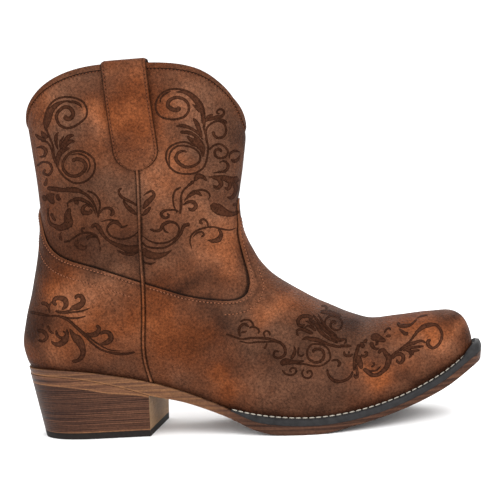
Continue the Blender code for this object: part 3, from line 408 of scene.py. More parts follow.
# Tooled scrolls of the outer side as pen strokes: widths spread along the stroke, then x, y of its points,
# in pixels of the photo's camera. The inner side repeats them.
SCROLLS = {
    "shaft": (
        ((2, 2, 2, 3, 5), (
            46, 128, 45, 118, 48, 108, 55, 100, 65, 97, 75, 98, 83, 102, 87, 110, 86, 117, 81, 122, 75, 126,
            68, 128, 61, 126, 57, 120, 57, 114, 60, 110, 65, 107, 71, 109, 73, 113, 72, 117, 68, 119,
            64, 116,
        )),
        ((2, 6, 7, 5, 2, 1), (46, 131, 46, 122, 50, 112, 58, 104, 68, 101, 74, 102)),
        ((2, 5, 1), (47, 128, 49, 120, 53, 114)),
        ((2, 3, 3, 1), (68, 102, 74, 102, 80, 105, 82, 108)),
        ((3, 5, 2), (48, 138, 44, 135, 41, 131)),
        ((3, 4, 2), (46, 140, 40, 138, 35, 134)),
        ((2, 2, 2, 3, 4), (
            46, 128, 49, 136, 53, 146, 54, 155, 57, 165, 61, 173, 67, 179, 75, 183, 84, 182, 91, 177,
            95, 168, 94, 160, 88, 154, 80, 151, 72, 152, 66, 157, 63, 163, 64, 170, 69, 175, 76, 176,
            83, 172, 86, 166, 83, 161, 77, 159, 72, 161,
        )),
        ((1, 2, 1), (70, 155, 80, 154, 88, 159, 90, 166, 87, 173)),
        ((1, 5, 6, 2), (58, 167, 58, 158, 62, 151, 70, 148)),
        ((1, 3, 4, 1), (58, 150, 56, 142, 57, 134, 59, 132)),
        ((1, 3, 1), (60, 149, 61, 141, 64, 136)),
        ((1, 4, 5, 3), (60, 150, 64, 143, 70, 136, 74, 135)),
        ((1, 4, 4, 2), (62, 150, 67, 144, 72, 141, 75, 142)),
        ((2,), (41, 141, 47, 142, 51, 148, 53, 156, 56, 164)),
        ((1, 3, 4, 3, 1), (36, 148, 42, 147, 46, 151, 44, 156, 39, 157)),
        ((2, 3), (37, 166, 43, 162, 50, 164, 52, 170, 48, 175, 44, 173, 45, 169)),
        ((2, 4), (47, 178, 45, 186)),
        ((4, 5, 4, 6, 3, 3, 2, 2), (
            47, 188, 55, 189, 63, 190, 69, 190, 76, 190, 85, 194, 91, 199, 95, 206, 98, 215,
        )),
        ((2,), (87, 191, 93, 193, 98, 198, 100, 205, 99, 212, 98, 218)),
        ((5, 4), (66, 192, 69, 187)),
        ((1, 2, 4, 4, 3, 2, 1), (68, 208, 68, 203, 73, 200, 79, 199, 85, 201, 91, 205, 94, 210, 96, 215)),
        ((4, 4), (74, 202, 79, 203)),
        ((2, 3, 4, 5, 4, 3), (91, 207, 87, 205, 83, 208, 83, 212, 87, 213, 91, 212, 90, 209)),
        ((3, 7, 9, 8, 6, 4, 3, 2, 2), (
            70, 208, 68, 213, 68, 219, 69, 223, 65, 226, 60, 228, 55, 226, 51, 224, 48, 215, 48, 208,
        )),
        ((9, 7, 3), (50, 193, 51, 199, 54, 204)),
        ((4, 4, 3), (57, 194, 59, 199, 61, 198)),
        ((4, 4), (43, 195, 46, 201)),
        ((3, 3, 2), (51, 213, 54, 219, 56, 221)),
        ((2, 2, 2, 2, 1), (
            64, 242, 69, 241, 74, 238, 78, 235, 84, 233, 91, 233, 96, 236, 99, 241, 100, 246, 100, 252,
        )),
        ((2,), (84, 233, 82, 231, 82, 228, 85, 229)),
        ((2, 3, 4, 3), (97, 237, 92, 236, 88, 238, 87, 240)),
        ((2, 5, 6, 5, 2), (77, 238, 76, 242, 79, 246, 83, 248, 88, 246)),
        ((2, 3, 2), (62, 232, 60, 237, 62, 241)),
        ((3, 5, 4, 3, 4, 6, 8, 9), (
            91, 227, 96, 225, 99, 228, 102, 233, 107, 239, 113, 243, 120, 246, 128, 249, 139, 249,
        )),
        ((1, 2, 2, 2, 4, 1), (
            139, 231, 133, 236, 124, 239, 115, 238, 109, 234, 107, 229, 110, 224, 115, 222, 119, 224,
            122, 227, 128, 225,
        )),
        ((1, 2, 1), (101, 222, 107, 220, 114, 220, 119, 221)),
        ((1, 3, 3, 1), (117, 250, 126, 254, 134, 254, 139, 251)),
        ((4, 3, 2, 2, 2), (190, 224, 184, 226, 181, 233, 175, 241, 166, 247, 156, 248, 146, 246, 142, 242)),
        ((7, 8, 7, 4, 1), (142, 250, 148, 254, 156, 256, 165, 254, 172, 250)),
        ((2, 2, 1), (144, 262, 150, 264, 156, 262)),
        ((1, 2, 2, 2, 4, 2), (
            143, 236, 148, 240, 156, 243, 164, 243, 172, 240, 178, 234, 179, 228, 175, 223, 169, 222,
            163, 225, 160, 230, 155, 231, 150, 229,
        )),
        ((2, 2, 1), (163, 226, 165, 231, 169, 233)),
        ((2, 5, 4, 2), (137, 215, 131, 210, 126, 205, 123, 200)),
        ((2, 3, 3, 2), (138, 206, 131, 202, 125, 199, 120, 195, 119, 190, 122, 188)),
        ((2, 5, 2), (142, 216, 147, 211, 151, 207)),
        ((2, 6, 5, 3, 2, 1), (143, 209, 147, 203, 151, 199, 154, 195, 152, 191, 147, 193, 143, 196)),
        ((2, 2, 3, 4, 3), (99, 214, 102, 210, 107, 208, 111, 209, 113, 213, 110, 216)),
        ((2, 2, 3, 3, 2), (179, 212, 175, 210, 170, 210, 164, 211, 161, 214, 165, 218, 169, 216, 167, 213)),
        ((3, 2, 2, 2, 3, 5), (
            204, 128, 204, 117, 202, 107, 197, 98, 189, 92, 178, 89, 168, 90, 160, 95, 156, 103, 156, 110,
            160, 116, 168, 119, 177, 119, 185, 116, 189, 109, 187, 102, 181, 98, 174, 98, 169, 101,
            168, 106, 172, 109, 177, 110, 180, 107,
        )),
        ((3, 5, 7, 6, 4, 1), (203, 124, 203, 114, 199, 104, 192, 96, 184, 92, 176, 92)),
        ((4, 4, 1), (201, 112, 196, 107, 192, 104)),
        ((1, 2, 2, 1), (160, 103, 161, 98, 165, 94, 171, 91)),
        ((2, 4, 3, 2, 2), (
            205, 121, 211, 119, 217, 117, 222, 116, 224, 112, 221, 109, 218, 110, 217, 113, 220, 114,
        )),
        ((2, 5, 2), (205, 122, 209, 117, 213, 114)),
        ((2, 2, 4), (213, 119, 220, 119, 227, 123)),
        ((2, 2, 3), (
            208, 146, 206, 137, 207, 128, 212, 123, 218, 121, 224, 124, 226, 130, 224, 136, 218, 138,
            214, 135, 213, 131,
        )),
        ((1, 3, 3, 4, 2), (203, 140, 198, 133, 192, 129, 184, 126, 176, 126)),
        ((1, 3, 4, 3), (203, 144, 197, 137, 190, 133, 180, 132)),
        ((2, 4, 5, 2), (202, 137, 199, 129, 196, 122, 193, 118)),
        ((2, 5, 5, 2), (200, 150, 196, 143, 190, 139, 187, 136)),
        ((2, 3, 1), (203, 148, 198, 146, 190, 145)),
        ((2, 6, 7, 3), (203, 157, 202, 148, 199, 142, 194, 137)),
        ((2,), (
            203, 126, 206, 136, 208, 148, 207, 158, 203, 168, 195, 173, 186, 174, 176, 172, 169, 166,
            166, 157, 168, 149, 175, 144, 184, 142, 196, 146,
        )),
        ((1, 2, 2, 2, 3, 4, 2), (
            170, 166, 169, 158, 172, 150, 178, 146, 186, 146, 195, 149, 200, 155, 199, 162, 193, 166,
            186, 167, 180, 164, 176, 158, 178, 153, 183, 151, 187, 152,
        )),
        ((2, 2, 3), (
            209, 150, 213, 146, 219, 144, 225, 147, 228, 152, 225, 157, 219, 158, 215, 155, 215, 151,
            219, 149, 222, 152,
        )),
        ((1, 2, 3, 1), (229, 159, 230, 154, 234, 151, 240, 152)),
        ((1, 3, 4, 1), (240, 155, 237, 160, 233, 161, 231, 159)),
        ((1, 2, 3, 3, 2, 1), (219, 163, 223, 161, 227, 163, 228, 167, 225, 171, 220, 172, 213, 173)),
        ((2, 4, 6, 3), (207, 181, 203, 177, 199, 176, 194, 181)),
        ((4, 2, 2, 3, 2), (194, 181, 188, 186, 183, 191, 181, 198, 181, 206, 180, 214)),
        ((2, 2, 1), (181, 187, 175, 191, 173, 198, 174, 206, 177, 213)),
        ((1, 3, 5, 7, 7, 5), (208, 177, 216, 177, 224, 178, 231, 180, 237, 179, 240, 177)),
        ((3, 4, 4, 2), (229, 181, 230, 186, 227, 189, 225, 187)),
        ((2, 4, 5, 4, 2), (212, 178, 218, 179, 221, 184, 217, 188, 213, 185)),
        ((5, 5, 4, 4, 2), (234, 182, 236, 188, 235, 193, 231, 198, 227, 197)),
        ((3, 3), (236, 203, 233, 206)),
        ((1, 2, 2, 2, 1), (184, 202, 188, 196, 194, 192, 200, 190, 206, 191, 210, 196, 208, 200)),
        ((1, 4, 5, 2), (185, 200, 190, 195, 196, 192, 202, 196)),
        ((1, 3, 4, 4, 4, 2), (183, 205, 188, 202, 193, 202, 196, 206, 192, 210, 188, 208)),
        ((6, 10, 11, 8, 6, 4, 3), (213, 203, 214, 206, 218, 209, 224, 212, 231, 214, 236, 213, 239, 211)),
        ((1, 2, 2, 2, 1), (
            192, 249, 190, 242, 191, 236, 196, 231, 204, 228, 213, 227, 222, 229, 230, 230, 236, 228,
        )),
        ((2, 2, 3), (208, 227, 207, 222, 203, 219, 200, 222, 203, 224)),
        ((1, 2, 2, 2), (193, 237, 197, 233, 202, 232, 204, 235, 201, 237)),
        ((2, 4, 6, 4, 1), (218, 229, 221, 233, 219, 239, 213, 241, 207, 240)),
    ),
    "counter": (
        ((1, 3, 3, 2, 2, 3, 2), (
            48, 316, 58, 316, 68, 320, 76, 327, 84, 335, 92, 343, 102, 350, 113, 353, 124, 354, 135, 352,
        )),
        ((1, 2, 1), (70, 321, 80, 329, 90, 338, 100, 345, 110, 350, 121, 351)),
        ((2, 5, 6, 5, 4, 3), (62, 310, 66, 305, 65, 300, 60, 298, 55, 299, 54, 303, 57, 305)),
        ((2, 2, 1), (50, 313, 49, 307, 52, 302, 56, 300)),
        ((1, 5, 7, 6, 5, 4, 3), (69, 311, 73, 308, 79, 306, 83, 302, 82, 297, 77, 296, 75, 299)),
        ((1, 2, 2, 2, 1), (58, 313, 66, 313, 74, 312, 82, 311, 90, 308)),
        ((1, 2, 2, 1), (62, 316, 70, 318, 78, 318, 86, 316)),
        ((2, 3, 2), (55, 311, 66, 312, 70, 310)),
        ((4, 4, 2), (41, 303, 46, 304, 50, 309)),
        ((3, 3, 2), (30, 312, 40, 314, 50, 316)),
        ((2, 5, 9, 8, 6, 5, 4, 3), (
            70, 329, 74, 336, 79, 341, 82, 347, 83, 353, 81, 358, 76, 361, 72, 361,
        )),
        ((2, 4, 7, 6, 4, 2), (67, 329, 67, 334, 65, 340, 60, 344, 55, 344, 51, 341)),
        ((2, 3, 3, 2, 2), (56, 330, 58, 336, 62, 338, 66, 334, 63, 331)),
        ((2, 3, 2), (48, 325, 50, 331, 54, 334)),
        ((3, 4, 4, 3, 2), (37, 330, 44, 332, 47, 337, 43, 341, 38, 340)),
        ((2, 5, 6, 4, 3), (86, 333, 91, 335, 97, 333, 99, 328, 96, 325)),
        ((2, 5, 6, 5, 4, 3), (100, 344, 106, 343, 111, 338, 109, 333, 104, 332, 100, 334)),
    ),
    "vamp": (
        ((2, 2, 3, 3, 2), (
            226, 334, 232, 336, 241, 339, 251, 338, 261, 338, 269, 339, 276, 341, 282, 344, 285, 349,
            285, 354, 282, 357, 278, 358, 274, 356, 274, 353, 276, 351, 279, 352,
        )),
        ((1, 2, 1), (239, 341, 249, 343, 258, 342, 266, 342, 275, 342, 281, 344)),
        ((2, 3, 3, 2), (240, 337, 239, 331, 240, 327, 244, 324, 249, 327)),
        ((2,), (240, 322, 244, 320, 249, 320, 253, 324, 254, 327)),
        ((2,), (249, 328, 254, 327, 258, 329, 259, 331, 258, 334)),
        ((2, 2), (241, 333, 247, 331)),
        ((2,), (265, 337, 264, 333, 266, 331, 269, 332, 270, 336)),
        ((2, 2, 3), (267, 343, 266, 346, 264, 349)),
        ((5, 7, 5, 3, 2), (281, 365, 284, 362, 291, 362, 296, 362, 304, 361)),
        ((2,), (282, 370, 286, 374, 292, 375, 296, 372, 296, 369, 292, 368, 290, 371, 292, 372)),
        ((2,), (304, 369, 302, 373, 304, 377, 309, 378, 312, 375, 311, 371, 308, 371, 307, 374)),
        ((2, 2, 2, 2, 3, 3), (
            296, 364, 304, 364, 313, 366, 320, 366, 326, 363, 330, 359, 330, 354, 328, 349, 323, 345,
            317, 344, 311, 345, 308, 349, 307, 354, 309, 359, 314, 362, 319, 362, 323, 359, 324, 354,
            322, 350, 318, 349, 314, 350, 313, 353,
        )),
        ((1, 3, 4, 3), (294, 346, 295, 350, 294, 354, 291, 359)),
        ((2,), (299, 347, 298, 351, 299, 355, 302, 356, 304, 354)),
        ((3, 4, 4, 4, 3, 2), (313, 318, 307, 316, 301, 317, 298, 321, 299, 325, 303, 326, 305, 324)),
        ((3, 3, 1), (314, 327, 309, 322, 305, 321)),
        ((3, 3, 2, 1), (316, 331, 311, 327, 307, 326, 304, 329)),
        ((3, 4, 4, 3, 2, 2), (313, 334, 307, 331, 301, 329, 297, 331, 297, 334, 299, 336)),
        ((2, 4, 5, 4, 3, 3, 2), (302, 340, 306, 338, 311, 339, 317, 340, 325, 343, 334, 346, 342, 347)),
        ((2, 4, 4, 3, 2), (309, 319, 316, 324, 320, 331, 328, 338, 338, 343)),
        ((2, 3, 4, 3, 2), (313, 315, 318, 321, 324, 329, 331, 335, 341, 341)),
        ((1, 3, 3, 2), (318, 314, 322, 321, 328, 329, 337, 336)),
        ((3, 5, 5, 3), (320, 312, 326, 312, 334, 314, 341, 316)),
        ((1, 2, 2, 2, 3), (
            327, 330, 325, 325, 326, 319, 331, 316, 337, 317, 341, 320, 342, 325, 340, 329, 335, 330,
            331, 327, 331, 323, 334, 321, 336, 324,
        )),
        ((2,), (321, 306, 325, 306, 327, 308, 325, 309)),
        ((5, 6, 4, 2), (331, 334, 336, 339, 342, 340, 345, 339)),
        ((3, 3, 3, 1), (340, 346, 344, 346, 349, 346, 352, 346)),
        ((2,), (342, 339, 345, 339, 346, 341, 344, 344)),
        ((2, 3, 3, 2), (344, 351, 345, 355, 349, 356, 353, 354)),
        ((2, 2), (349, 351, 349, 354)),
        ((2, 2, 3, 2), (331, 361, 337, 360, 340, 364, 337, 367)),
        ((2, 3, 4, 3, 3, 2), (327, 369, 329, 376, 335, 381, 343, 381, 350, 377, 353, 371)),
        ((3, 4, 4, 3, 2), (359, 344, 357, 351, 355, 358, 354, 366, 354, 371)),
        ((4, 7, 6, 3), (358, 355, 359, 361, 361, 366, 362, 369)),
        ((2, 3, 3), (356, 364, 357, 371, 358, 376)),
        ((2, 4, 3), (354, 374, 356, 377, 359, 376)),
        ((4, 5, 3), (361, 342, 363, 346, 365, 345)),
        ((3, 4), (367, 339, 364, 343)),
        ((2, 3, 3, 2), (361, 354, 362, 356, 365, 356, 367, 354, 366, 352, 364, 353)),
        ((6, 8, 6, 3), (371, 339, 376, 337, 380, 339, 386, 341)),
        ((5, 4, 3, 2), (371, 342, 373, 347, 376, 349, 379, 348)),
        ((3, 3, 2), (376, 339, 377, 344, 375, 345)),
        ((2,), (384, 333, 386, 330, 389, 328, 391, 330)),
        ((3, 3), (386, 336, 391, 336)),
        ((3, 4, 6, 6, 5, 4, 4, 5, 3), (
            379, 354, 380, 351, 383, 350, 386, 354, 389, 358, 388, 363, 386, 368, 383, 371, 377, 375,
            372, 375, 368, 372, 363, 369,
        )),
        ((2, 2, 1), (364, 368, 371, 371, 377, 370, 381, 366)),
        ((2,), (371, 367, 374, 365, 374, 362)),
        ((3, 3, 2, 2, 3, 4), (
            389, 360, 393, 355, 398, 351, 404, 346, 409, 342, 414, 336, 417, 332, 422, 328,
        )),
        ((2, 5, 5, 3, 3, 3, 3, 3, 4, 3), (
            417, 332, 423, 327, 429, 325, 436, 325, 440, 329, 442, 334, 441, 340, 438, 345, 433, 348,
            429, 346, 428, 341, 431, 340,
        )),
        ((2, 3, 4, 3, 2), (400, 351, 406, 346, 414, 343, 422, 341, 426, 343)),
        ((2, 3, 3, 2), (403, 351, 410, 348, 417, 347, 424, 346)),
        ((2, 3, 2), (408, 352, 414, 351, 420, 350)),
        ((4, 4, 2), (406, 349, 411, 352, 414, 355)),
        ((3, 3, 2), (409, 351, 411, 355, 409, 358)),
        ((2, 3, 4, 4, 4, 3, 2), (
            392, 359, 396, 355, 400, 354, 403, 356, 403, 360, 400, 363, 397, 361, 397, 359,
        )),
        ((3, 4, 4, 3, 2, 2), (398, 322, 399, 325, 404, 326, 410, 325, 414, 322, 417, 319)),
        ((2, 3, 4, 3), (399, 329, 403, 332, 406, 334, 408, 332)),
        ((1, 2, 2), (417, 318, 422, 316, 428, 315)),
    ),
}

COLOURS = {
    "red_dark": (0.0245, 0.0064, 0.0021),
    "red": (0.080, 0.0215, 0.0066),
    "red_light": (0.180, 0.0540, 0.0180),
    "brown_dark": (0.0215, 0.0083, 0.0045),
    "brown": (0.066, 0.0280, 0.0153),
    "brown_light": (0.156, 0.0690, 0.0380),
    "scroll_dark": (0.0122, 0.0043, 0.0023),
    "scroll": (0.0270, 0.0096, 0.0048),
    "scroll_light": (0.060, 0.0220, 0.0112),
    "thread": (0.150, 0.056, 0.028),
    "red_thread": (0.085, 0.026, 0.011),
    # painted shade in the stitch holes
    "pinhole": (0.012, 0.004, 0.002),
    "welt_thread": (0.260, 0.235, 0.200),
    "cut_edge": (0.110, 0.040, 0.018),
    "lining": (0.160, 0.090, 0.045),
    "welt": (0.016, 0.0155, 0.016),
    "sole": (0.020, 0.009, 0.006),
    "sole_light": (0.066, 0.029, 0.017),
    "shank": (0.165, 0.076, 0.033),
    "stack": (0.018, 0.0070, 0.0048),
    "stack_light": (0.092, 0.039, 0.021),
    "breast": (0.235, 0.138, 0.068),
    "rubber": (0.012, 0.0095, 0.0085),
    "floor": (0.95, 0.95, 0.95),
    "floor_shade": (0.91, 0.91, 0.91),
}
PALETTE_STOPS = (("_dark", 0.12), ("", 0.5), ("_light", 0.88))

# Noises of the looks: scale, detail and roughness
MOTTLE = (38.0, 6.0, 0.68)
WANDER = (26.0, 4.0, 0.6)  # between redder and browner leather
SPECK = (720.0, 4.0, 0.7)
GRAIN = (700.0, 3.0, 0.55)
GLOSS = (60.0, 4.0, 0.55)
STREAKS = (36.0, 6.0, 0.75)
STACK_SPECK = (700.0, 4.0, 0.7)
FLOOR_SHADE = (3.0, 3.0, 0.55)
FLOOR_BUMP = (40.0, 3.0, 0.55)
PLAIN_SHADE = (4.0, 0.6)  # detail and roughness alone
SHADE_STOPS = (0.2, 0.8)  # where a plain look is darkest and lightest
NOISE_MIDDLE = 0.5
NOISE_SPAN = (0.3, 0.7)

# Shares and shades of the leather looks
MOTTLE_SHARE = 0.82
TONE_SHARE = 0.4
WARMTH_SHARE = -0.33
WANDER_SPAN = (0.20, 0.68)
SPECK_SHADES = (-0.4, 2.4)
EDGE_SHADES = (0.0, 1.3)
SEAM_SPAN = (0.0, 0.9)  # millimetres beside the piping over which its painted shadow fades out
SEAM_SHADES = (0.2, 1.0)
GRAIN_CELLS = 1000.0
GRAIN_DEPTH = 0.26
LEATHER_ROUGHNESS = (0.48, 0.64)
LEATHER_SHINE = 0.035
SCROLL_SHINE = 0.015
PLAIN_SHINE = 0.08

# Shares and shades of the layers edge-on
STREAK_STRETCH = (0.5, 0.5, 36.0)
WAVE = {"Distortion": 0.5, "Detail": 2.0, "Detail_Scale": 1.2}
WAVE_SHARE = 0.22
WAVE_TURN = 20.0  # radians of the wave texture for each unit of its scale
PALE_LINE_SHARE = 0.4
STACK_SPECK_SHADES = (0.3, 1.7)
STACK_DEPTH = 0.18
STACK_ROUGHNESS = (0.38, 0.55)

# Leather looks: palettes, shades at the edge (painted shadows and highlights), whether a painted shadow
# lines the side seam's piping, and shine
LEATHER_LOOKS = {
    "shaft_leather": (("red", "brown"), SHAFT_SHADES, True, LEATHER_SHINE),
    "foot_leather": (("red", "brown"), FOOT_SHADES, True, LEATHER_SHINE),
    "trim_leather": (("red", "brown"), TRIM_SHADES, False, LEATHER_SHINE),
    "scroll": (("scroll",), SCROLL_SHADES, False, SCROLL_SHINE),
}

# Plain looks, named by their colour: roughness, scale of the shades, depth, contrast and stretch
EVEN = (1.0, 1.0, 1.0)
PLAIN_LOOKS = {
    "thread": (0.6, 900.0, 0.1, 0.25, EVEN),
    "red_thread": (0.6, 900.0, 0.1, 0.25, EVEN),
    "pinhole": (0.8, 900.0, 0.1, 0.25, EVEN),
    "welt_thread": (0.7, 900.0, 0.1, 0.25, EVEN),
    "cut_edge": (0.65, 700.0, 0.1, 0.25, EVEN),
    "lining": (0.8, 500.0, 0.1, 0.25, EVEN),
    "welt": (0.55, 240.0, 0.2, 0.5, EVEN),
    "breast": (0.6, 160.0, 0.15, 0.3, (1.0, 1.0, 8.0)),
    "rubber": (0.65, 600.0, 0.1, 0.3, EVEN),
}

# Layers edge-on: colours at their levels, pitch of the lines, middle level and share of the streaks
STACK_LOOKS = {
    "sole_edge": (((0.1, "sole"), (0.5, "sole_light"), (1.0, "shank")), 3.0, 0.3, 1.6),
    "wedge": (((0.1, "stack"), (0.5, "stack_light"), (1.0, "shank")), 4.0, 0.55, 2.4),
    "stack": (((0.1, "stack"), (0.7, "stack_light"), (1.0, "shank")), 1.2, 0.36, 2.2),
}

# Studio: sizes and places in metres, and for each light its place, target, size and watts
FLOOR_SIZE = 6.0
FLOOR_ROUGHNESS = 0.9
FLOOR_DEPTH = 0.02
WORLD_STRENGTH = 1.35
LIGHTS = {
    "key": ((0.75, -1.15, 1.1), (0.0, 0.0, 0.10), 1.2, 20.0),
    "fill": ((-0.1, -1.5, 0.32), (0.0, 0.0, 0.05), 1.4, 14.0),
    "rim": ((0.2, 1.1, 1.0), (0.0, 0.0, 0.12), 0.9, 8.0),
}


def column(table, columns, name):
    """One named column of a table."""
    return np.array([row[columns.index(name)] for row in table], float)


def smooth(at, values, query):
    """Cubic curve through values at the places at, read at query."""
    slope = np.gradient(values, at)
    i = np.clip(np.searchsorted(at, query, side="right") - 1, 0, len(at) - 2)
    width = at[i + 1] - at[i]
    t = np.clip((query - at[i]) / width, 0.0, 1.0)
    start = (1 + 2 * t) * (1 - t) ** 2 * values[i] + t * (1 - t) ** 2 * width * slope[i]
    end = t * t * (3 - 2 * t) * values[i + 1] + t * t * (t - 1) * width * slope[i + 1]
    return start + end


def curve(table, query):
    """Cubic curve through a table of pairs, read at query."""
    at, values = np.array(table).T
    return smooth(at, values, query)


def lengths_along(points):
    """Length of the way to each point of a line."""
    return np.concatenate([[0.0], np.cumsum(np.linalg.norm(np.diff(points, axis=0), axis=1))])


def unit(vectors):
    """Vectors made 1 long."""
    return vectors / np.linalg.norm(vectors, axis=-1, keepdims=True)


def eased(low, high, x):
    """0 below low, 1 above high, with a soft rise between."""
    t = np.clip((x - low) / (high - low), 0.0, 1.0)
    return t * t * (3 - 2 * t)


def bottom(name, x):
    """A column of the bottom's side view at any x."""
    at = column(BOTTOM, BOTTOM_COLUMNS, "x")
    return smooth(at, column(BOTTOM, BOTTOM_COLUMNS, name), x)


def feather_z(x):
    return bottom("feather_z", x)


def underside_z(x):
    flat = (x >= FLAT_SPOT[0]) & (x <= FLAT_SPOT[1])
    return np.where(flat, 0.0, np.maximum(bottom("underside_z", x), 0.0))


def rabbet_depth(x):
    """Depth below the feather line at which the welt lies on the outsole."""
    return WELT_THICKNESS * eased(*WELT_RAMP, x)


def outline_half(name):
    """Points of one side of the outsole's outline, from the toe to the heel."""
    x = column(OUTLINE, OUTLINE_COLUMNS, "x")
    outer = np.stack([x, -column(OUTLINE, OUTLINE_COLUMNS, "outer")], 1)
    inner = np.stack([x, column(OUTLINE, OUTLINE_COLUMNS, "inner")], 1)
    near, far = (outer, inner) if name == "outer" else (inner, outer)
    points = np.concatenate([far[-2:], [OUTLINE_TOE], near[::-1], [OUTLINE_HEEL], far[:2]])
    steps = np.linalg.norm(np.diff(points, axis=0), axis=1) ** 0.5
    at = np.concatenate([[0.0], np.cumsum(steps)])
    query = np.linspace(at[2], at[-3], CURVE_STEPS)
    return np.stack([smooth(at, points[:, k], query) for k in (0, 1)], 1)


def spine(x):
    """Point of the sole's middle line nearest to x."""
    share = (x - OUTLINE_HEEL[0]) / (OUTLINE_TOE[0] - OUTLINE_HEEL[0])
    return np.stack([np.clip(x, *SPINE_ENDS), OUTLINE_TOE[1] * share], -1)


def moved_in(points, inset):
    """Points of the edge moved towards the sole's middle line."""
    return points + unit(spine(points[:, 0]) - points) * np.reshape(inset, (-1, 1))


def sole_edge(name, inset_of_x, shares):
    """One side of the sole's edge, moved in, at shares of its length from the toe."""
    line = outline_half(name)
    line = moved_in(line, inset_of_x(line[:, 0]))
    run = lengths_along(line)
    return np.stack([np.interp(shares * run[-1], run, line[:, k]) for k in (0, 1)], 1)


def upper_inset(x):
    """How far the upper's own base lies inside the sole's edge."""
    return bottom("welt_out", x) + OVERLAY + GAP


def section_places():
    """Place of each section of the table on one scale along the upper."""
    names = SECTION_COLUMNS
    ridge = np.stack([column(SECTIONS, names, "ridge_x"), column(SECTIONS, names, "ridge_z")], 1)
    ridge_step = np.linalg.norm(np.diff(ridge, axis=0), axis=1)
    base_step = np.diff(column(SECTIONS, names, "along")) * FEATHER_LENGTH
    base_step[HEEL_ROW:] = np.diff(column(SECTIONS, names, "base_z"))[HEEL_ROW:]
    return np.concatenate([[0.0], np.cumsum((ridge_step + base_step) / 2)])


def upper_grid(spans, side_steps):
    """Outer face of the upper, a row of points for each section: outer base, ridge, inner base.

    Also gives the number of the first row whose two bases are one point.
    """
    at = section_places()
    query = np.concatenate([[0.0]] + [np.linspace(at[a], at[b], steps + 1)[1:] for a, b, steps in spans])
    table = {name: column(SECTIONS, SECTION_COLUMNS, name) for name in SECTION_COLUMNS}
    value = {name: smooth(at, table[name], query) for name in SECTION_COLUMNS[3:]}
    along = np.clip(smooth(at, table["along"], query), 0.0, 1.0)
    heel = int(np.argmin(np.abs(query - at[HEEL_ROW])))
    closed = np.arange(len(query)) >= heel
    along[closed] = 1.0
    back = np.maximum(query, at[HEEL_ROW])
    back_x = smooth(at[HEEL_ROW:], table["base_x"][HEEL_ROW:], back)
    back_z = smooth(at[HEEL_ROW:], table["base_z"][HEEL_ROW:], back)
    rows = np.zeros((len(query), 2 * side_steps + 1, 3))
    for name, side in SIDES:
        base = sole_edge(name, upper_inset, along)
        base_x = np.where(closed, back_x, base[:, 0])
        base_z = np.where(closed, back_z, feather_z(base[:, 0]) + GAP)
        base_half = np.where(closed, 0.0, np.abs(base[:, 1] - value["ridge_y"]))
        half = np.maximum(value[name], base_half * LEAST_SWELL)
        low = np.arccos(np.clip(base_half / np.maximum(half, GAP), 0.0, 1.0))
        for j in range(side_steps + 1):
            angle = (math.pi / 2 + low) * j / side_steps - low
            above = np.sin(np.maximum(angle, 0.0)) ** (2.0 / value["fullness"])
            below = np.sin(np.maximum(-angle, 0.0)) / np.maximum(np.sin(low), LEAST_SINE)
            below = below ** (2.0 / value["back"])
            share = value["widest"] * (1 - below) + (1 - value["widest"]) * above
            rise = np.hypot(np.cos(angle), NOTCH_ROUND) - NOTCH_ROUND
            rise /= math.hypot(1.0, NOTCH_ROUND) - NOTCH_ROUND
            rise = np.maximum(rise, 0.0) ** np.where(angle > 0, *DIP_POWERS)
            slope = 1 - rise * value["lift"] / table["lift"].max()
            height = value["widest"] + (share - value["widest"]) * slope
            row = rows[:, j if side == NEAR else -1 - j]
            row[:, 0] = base_x + (value["ridge_x"] - base_x) * share
            row[:, 1] = value["ridge_y"] + side * half * np.cos(angle)
            row[:, 2] = base_z + (value["ridge_z"] - base_z) * height + value["lift"] * rise
    rows[0] = rows[0, 0]
    return rows, heel


def grid_normals(rows, heel):
    """Outward unit normals at the points of the upper's grid, from the faces that meet there."""
    faces = np.cross(rows[1:, 1:] - rows[:-1, :-1], rows[1:, :-1] - rows[:-1, 1:])
    normals = np.zeros_like(rows)
    for i in (slice(0, -1), slice(1, None)):
        for j in (slice(0, -1), slice(1, None)):
            normals[i, j] += faces
    normals[0] = normals[0].sum(axis=0)
    seam = normals[heel:, 0] + normals[heel:, -1]
    normals[heel:, 0] = seam
    normals[heel:, -1] = seam
    return unit(normals)


def topline_z(points):
    """Height of the upper edge of vamp and counter where the points lie round the leg."""
    ahead = (points[..., 0] - TOPLINE_CENTRE_X) / TOPLINE_REACH[0]
    out = np.abs(points[..., 1]) / TOPLINE_REACH[1]
    return curve(TOPLINE, np.degrees(np.arctan2(out, ahead)))


def seam_x(z):
    """Place of the side seam and of the pull strap's middle at a height."""
    return curve(SEAM, z)


def past_seam(points):
    """How far the points lie in front of the side seam."""
    return points[:, 0] - seam_x(points[:, 2])


def beside_piping(points):
    """How far the points lie from the piping in the side seam."""
    return np.abs(past_seam(points)) - PIPING_WIDTH / 2


def collar_rise(points):
    """How much higher the collar is at the points: the outer side rises, the inner side drops."""
    x, y, z = points[..., 0], points[..., 1], points[..., 2]
    outer = curve(COLLAR_RISE, x) * eased(*COLLAR_OUTER_FADE, -y)
    inner = INNER_COLLAR_DROP * eased(*COLLAR_INNER_FADE, y)
    return (outer - inner) * eased(*COLLAR_SPAN, z)


def crease_depth(points):
    """How far the creases push the leather in at the points, with a slight ridge beside each."""
    depth = np.zeros(points.shape[:-1])
    for x, z, length, width, slope, deep in CREASES:
        turn = math.radians(slope)
        across_x, across_z = points[..., 0] - x, points[..., 2] - z
        along = (across_x * math.cos(turn) + across_z * math.sin(turn)) / length
        across = (across_z * math.cos(turn) - across_x * math.sin(turn)) / width
        depth += deep * np.exp(-(along**2)) * (1 - across**2) * np.exp(-(across**2))
    return depth


